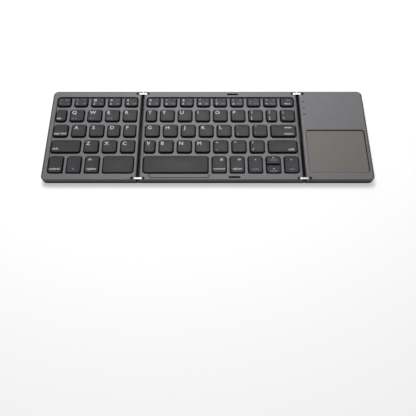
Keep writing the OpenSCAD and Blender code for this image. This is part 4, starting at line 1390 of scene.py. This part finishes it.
@dataclass
class Touchpad:
    """The touchpad's glass, the indicator lenses and the charging port in the right wing.

    gap is the width of the recess round the glass, and rim the height under which the recess gets painted
    shade in place of the frame paint.
    bevel_profile goes up the glass's edge: shares of bevel inwards, and of bevel_fall from the lower face,
    or down from the upper face where they are below 0.
    """

    body: str = "right_wing"
    corner: float = 2.6 * MM
    gap: float = 0.45 * MM
    rim: float = 7.72 * MM
    bevel: float = 0.4 * MM
    bevel_fall: float = 0.3 * MM
    bevel_profile: tuple[tuple[float, float], ...] = (
        (0.06, 0.0), (0.0, 0.1), (0.0, -0.85), (0.25, -0.62), (1.0, 0.0))
    lens_dome: float = 0.12 * MM
    port_wall: float = 0.3 * MM
    tongue_t: float = 0.6 * MM
    tongue_back: float = 1.0 * MM
    tongue_edge: float = 0.1 * MM

    def build(self, frame: Frame, shop: Workshop) -> None:
        """Makes the glass, the lenses and the port."""
        self.glass(shop)
        self.lenses(frame["nodes"]["indicator_lenses"], shop)
        self.port(shop)

    def well(self) -> Well:
        """The recess round the glass, which the frame paint fills with painted shade."""
        low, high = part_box("touchpad_glass")
        g = self.gap
        return Well(low.x - g, low.y - g, high.x + g, high.y + g, self.rim)

    def glass(self, shop: Workshop) -> None:
        """A sheet with a ground bevel round its upper edge, which catches the light."""
        low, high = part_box("touchpad_glass")
        r = self.corner
        shape = Rounded(low.x, low.y, high.x, high.y, (r, r, r, r))
        way_in, way_up = np.array(self.bevel_profile).T
        insets = way_in * self.bevel
        heights = np.where(way_up < 0, high.z, low.z) + way_up * self.bevel_fall
        heights[-1] = high.z
        skin = stacked(raised(shape.rings(insets, 8, 6), heights))
        low_xy, size = np.array([low.x, low.y]), np.array([high.x - low.x, high.y - low.y])
        skin.spread = (skin.points[:, :2] - low_xy) / size
        obj = skin_object("touchpad_glass_sheet", skin, shop.slots[Slot.PAD], 12)
        dressed(obj, self.body, ["touchpad_glass"])

    def lenses(self, node: bpy.types.Object, shop: Workshop) -> None:
        """Small windows with a soft edge."""
        windows = pillows(node, NEAR, self.lens_dome)
        obj = skin_object("indicator_lens_windows", windows, shop.slots[Slot.LENS])
        dressed(obj, self.body, ["indicator_lenses"])

    def port(self, shop: Workshop) -> None:
        """A drawn shell with round ends, open at the back, round a tongue.

        The rings run in the upright plane and are carried along the depth: out over the back of the
        shell, round its mouth and in again to the inner end.
        """
        low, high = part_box("charging_port")
        r = (high.z - low.z) / 2 - NEAR
        face = Rounded(low.x, low.z, high.x, high.z, (r, r, r, r))
        w = self.port_wall
        insets = np.array([0.15, 0.0, 0.0, 0.3, 0.7, 1.0, 1.0]) * w
        lip = high.y - 0.3 * w
        depths = np.array([low.y, low.y + 0.15 * w, lip, high.y, high.y, lip, low.y + w])
        shell = swapped(stacked(raised(face.rings(insets), depths)), (0, 2, 1))
        obj = skin_object("charging_port_shell", shell, shop.slots[Slot.PORT])
        dressed(obj, self.body, ["charging_port"])
        x, z = face.middle
        wide, t = (high.x - low.x) / 4, self.tongue_t / 2
        tongue = Rounded(x - wide, z - t, x + wide, z + t, (t * 0.8,) * 4)
        blade = pillow(tongue, low.y + w / 2, high.y - self.tongue_back, self.tongue_edge)
        blade = swapped(blade, (0, 2, 1))
        dressed(skin_object("charging_port_tongue", blade, shop.tongue), self.body)


@dataclass
class Fold:
    """A fold line: two links on four pins, and the flex cable that crosses it.

    side is left or right, and wing and link the bodies on it. The cable is in two halves, one between the
    fold line and the centre panel's end and one between the fold line and the wing's end. A half has
    bend_steps within cable_reach of the fold line, and goes on in rest_steps. Its edges are round but for a
    share, cable_round.
    """

    side: str
    wing: str
    link: str
    link_edge: float = 0.3 * MM
    pin_edge: float = 0.18 * MM
    cable_reach: float = 0.12 * MM
    bend_steps: int = 28
    rest_steps: int = 8
    cable_round: float = 0.9

    def pins(self) -> tuple[float, float, float]:
        """X of the left and right pin, and their height."""
        low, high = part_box(f"{self.side}_hinge_pins")
        r = (high.z - low.z) / 2
        return low.x + r, high.x - r, (high.z + low.z) / 2

    def build(self, frame: Frame, shop: Workshop) -> None:
        """Makes the links, the pins and both halves of the cable."""
        for part, slot, edge in (("links", Slot.LINK, self.link_edge), ("pins", Slot.PIN, self.pin_edge)):
            node = f"{self.side}_hinge_{part}"
            obj = softened(frame["nodes"][node], f"{node}_turned", shop.slots[slot], edge, 3)
            dressed(obj, self.link, [node])
        self.cable(shop)

    def cable(self, shop: Workshop) -> None:
        """Both halves of the cable.

        A half is a flat section carried along X. Its steps are dense just off the fold line.
        """
        node = f"{self.side}_flex_cable"
        low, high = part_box(node)
        left_pin, right_pin, z = self.pins()
        fold = (left_pin + right_pin) / 2
        wing_sign = -1 if self.side == "left" else 1
        for body, sign in (("centre", -wing_sign), (self.wing, wing_sign)):
            end = low.x if sign < 0 else high.x
            start_bend = fold + sign * self.cable_reach
            x = np.concatenate([
                np.linspace(fold, start_bend, self.bend_steps),
                np.linspace(start_bend, end, self.rest_steps)[1:]])
            name = f"{self.side}_flex_cable_{'centre' if body == 'centre' else 'wing'}_half"
            obj = skin_object(name, self.strip(x, low, high), shop.slots[Slot.FLEX])
            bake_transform(obj)
            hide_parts(node)
            LOG.info("%s bends between %s and %s", name, self.link, body)

    def strip(self, x: np.ndarray, low: object, high: object) -> Skin:
        """A flat section with round edges in the YZ plane, repeated at each x."""
        r = (high.z - low.z) / 2 * self.cable_round
        section = Rounded(low.y, low.z, high.y, high.z, (r, r, r, r)).rings(np.zeros(1), 3, 6)[0]
        rings = np.empty((len(x), len(section), 3))
        rings[..., 0] = x[:, None]
        rings[..., 1:] = section
        return stacked(rings)


# ---- Stage ----


@dataclass
class Stage:
    """A pale floor, soft light from above and behind, and the camera.

    The floor_ values are those of the floor, where glow is what the camera sees on top of its shade. The
    key_ values are the lamp's. The sky_ values are those of the soft light, which grows from low to high
    as a way turns towards side, and the mirror_ values those of the same light as bright surfaces mirror
    it, where fall is how fast it fades to the left and right.
    """

    camera_at: tuple[float, float, float] = (0.24 * MM, -234.64 * MM, 379.11 * MM)
    camera_tilt: float = 22.998
    lens: float = 39.31
    sensor: float = 36.0
    floor_size: float = 6.0
    floor_drop: float = 0.02 * MM
    floor_shade: float = 0.64
    floor_glow: float = 0.5
    key_at: tuple[float, float, float] = (-0.06, 0.26, 0.55)
    key_size: float = 0.28
    key_power: float = 3.2
    sky_from: float = 0.2
    sky_low: float = 0.03
    sky_high: float = 0.5
    sky_side: tuple[float, float, float] = (0.0, 0.75, 0.66)
    mirror_from: float = 0.7
    mirror_low: float = 0.15
    mirror_high: float = 3.2
    mirror_fall: float = 0.5

    def build(self) -> None:
        """Sets the colours straight and makes the floor, the sky, the light and the camera."""
        bpy.context.scene.view_settings.view_transform = "Standard"
        self.floor()
        self.sky()
        self.light()
        self.camera()

    def floor(self) -> None:
        """A white floor that keeps the shadow: the camera sees a little glow added to its shade."""
        half = self.floor_size / 2
        mesh = bpy.data.meshes.new("floor")
        signs = ((-1, -1), (1, -1), (1, 1), (-1, 1))
        mesh.from_pydata([(x * half, y * half, -self.floor_drop) for x, y in signs], [], [(0, 1, 2, 3)])
        material = bpy.data.materials.new("floor")
        material.use_nodes = True
        graph = Graph(material.node_tree)
        shade = graph.add("ShaderNodeBsdfDiffuse", {"Color": (self.floor_shade,) * 3 + (1.0,)})
        seen = graph.add("ShaderNodeLightPath").outputs
        looked = graph.math("MAXIMUM", seen["Is Camera Ray"], seen["Is Transmission Ray"])
        added = graph.math("MULTIPLY", looked, self.floor_glow)
        glow = graph.add("ShaderNodeEmission", {"Strength": added})
        both = graph.add("ShaderNodeAddShader", {0: shade.outputs[0], 1: glow.outputs[0]})
        graph.add("ShaderNodeOutputMaterial", {"Surface": both.outputs[0]})
        mesh.materials.append(material)
        linked("floor", mesh)

    def sky(self) -> None:
        """Soft light that is brightest behind and above, and plain white to the camera.

        Bright surfaces mirror it and not the lamp, as they would a white wall behind.
        """
        world = bpy.data.worlds.new("studio")
        bpy.context.scene.world = world
        world.use_nodes = True
        graph = Graph(world.node_tree)
        way = graph.add("ShaderNodeTexCoord").outputs["Generated"]
        side = graph.add("ShaderNodeVectorMath", {0: way, 1: self.sky_side}, operation="DOT_PRODUCT")
        facing = side.outputs["Value"]
        shade = graph.range(facing, self.sky_from, 1.0, self.sky_low, self.sky_high)
        across = graph.math("ABSOLUTE", graph.split(way)[0])
        bright = graph.math("MULTIPLY_ADD", across, -self.mirror_fall, facing)
        mirrored = graph.range(bright, self.mirror_from, 1.0, self.mirror_low, self.mirror_high)
        seen = graph.add("ShaderNodeLightPath").outputs
        glossy = seen["Is Glossy Ray"]
        strength = graph.math("ADD", graph.math("MULTIPLY", glossy, mirrored), graph.math(
            "MULTIPLY", graph.math("SUBTRACT", 1.0, glossy), shade))
        light, plain = (
            graph.add("ShaderNodeBackground", {"Color": WHITE, "Strength": value}).outputs[0]
            for value in (strength, 1.0))
        mix = graph.add("ShaderNodeMixShader", {0: seen["Is Camera Ray"], 1: light, 2: plain})
        graph.add("ShaderNodeOutputWorld", {"Surface": mix.outputs[0]})

    def light(self) -> None:
        """A large square lamp above and behind, turned towards the middle of the keyboard."""
        lamp = bpy.data.lights.new("soft_box", "AREA")
        lamp.shape = "SQUARE"
        lamp.size = self.key_size
        lamp.energy = self.key_power
        obj = linked("soft_box", lamp)
        x, y, z = self.key_at
        obj.location = (x, y, z)
        obj.rotation_euler = (-math.atan2(y, z), math.atan2(x, math.hypot(y, z)), 0.0)
        obj.visible_glossy = False

    def camera(self) -> None:
        """The photograph's view: from the front and above, with the keyboard in the upper half."""
        data = bpy.data.cameras.new("camera")
        data.lens = self.lens
        data.sensor_width = self.sensor
        data.clip_start = 0.01
        obj = linked("camera", data)
        obj.location = self.camera_at
        obj.rotation_euler = (math.radians(self.camera_tilt), 0.0, 0.0)
        bpy.context.scene.camera = obj


@dataclass
class Keyboard:
    """The whole object: three panels, two blocks of keys and two folds."""

    folds: tuple[Fold, Fold] = (
        Fold("left", "left_wing", "left_link"), Fold("right", "right_wing", "right_link"))
    panels: tuple[Panel, ...] = field(default_factory=lambda: (
        Panel("centre", "centre", {
            "centre_base_plate": Slot.PLATE, "centre_screws": Slot.SCREW, "centre_hinge_blocks": Slot.BLOCK,
        }, ("centre_feet", "centre_bumpers")),
        Panel("left", "left_wing", {
            "left_base_plate": Slot.PLATE, "left_screws": Slot.SCREW, "left_hinge_blocks": Slot.BLOCK,
        }, ("left_feet",)),
        Panel("right", "right_wing", {
            "touchpad_board": Slot.BOARD, "main_board": Slot.BOARD, "battery": Slot.BATTERY,
            "right_screws": Slot.SCREW, "right_hinge_blocks": Slot.BLOCK,
        }, ("right_feet",)),
    ))
    blocks: tuple[KeyBlock, ...] = (
        KeyBlock(Springs("left", "left_wing"), (
            ("esc_key", "left_number_keys"), ("tab_key", "left_upper_letter_keys"),
            ("caps_lock_key", "left_home_letter_keys"), ("left_shift_key", "left_lower_letter_keys"),
            ("control_key", "fn_key", "left_alt_key", "left_space_key"),
        )),
        KeyBlock(Springs("centre", "centre"), (
            ("centre_number_keys", "backspace_key"), ("centre_upper_letter_keys",),
            ("centre_home_letter_keys", "enter_key"), ("centre_lower_letter_keys", "right_shift_key"),
            ("right_space_key", "command_key", "right_alt_key", "left_arrow_key", "up_arrow_key",
             "down_arrow_key", "right_arrow_key"),
        )),
    )
    touchpad: Touchpad = field(default_factory=Touchpad)
    # the groove round the thumb relief, which the frame paint fills with painted shade
    thumb_groove: Well = Well(-55.3 * MM, -47.35 * MM, 3.0 * MM, -42.8 * MM, 7.42 * MM)

    def build(self, frame: Frame) -> None:
        """Makes every piece."""
        lines = tuple(sum(fold.pins()[:2]) / 2 for fold in self.folds)
        shop = Workshop(lines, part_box("right_top_frame")[1].x, (self.thumb_groove, self.touchpad.well()))
        for panel in self.panels:
            panel.build(frame, shop)
        press = Press()
        for block in self.blocks:
            block.build(frame, shop, press)
        self.touchpad.build(frame, shop)
        for fold in self.folds:
            fold.build(frame, shop)


def main() -> None:
    """Loads the frame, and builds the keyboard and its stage."""
    logging.basicConfig(level=logging.INFO, format="%(name)s: %(message)s")
    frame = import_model()
    Stage().build()
    Keyboard().build(frame)
    bpy.context.view_layer.update()


if __name__ == "__main__":
    main()
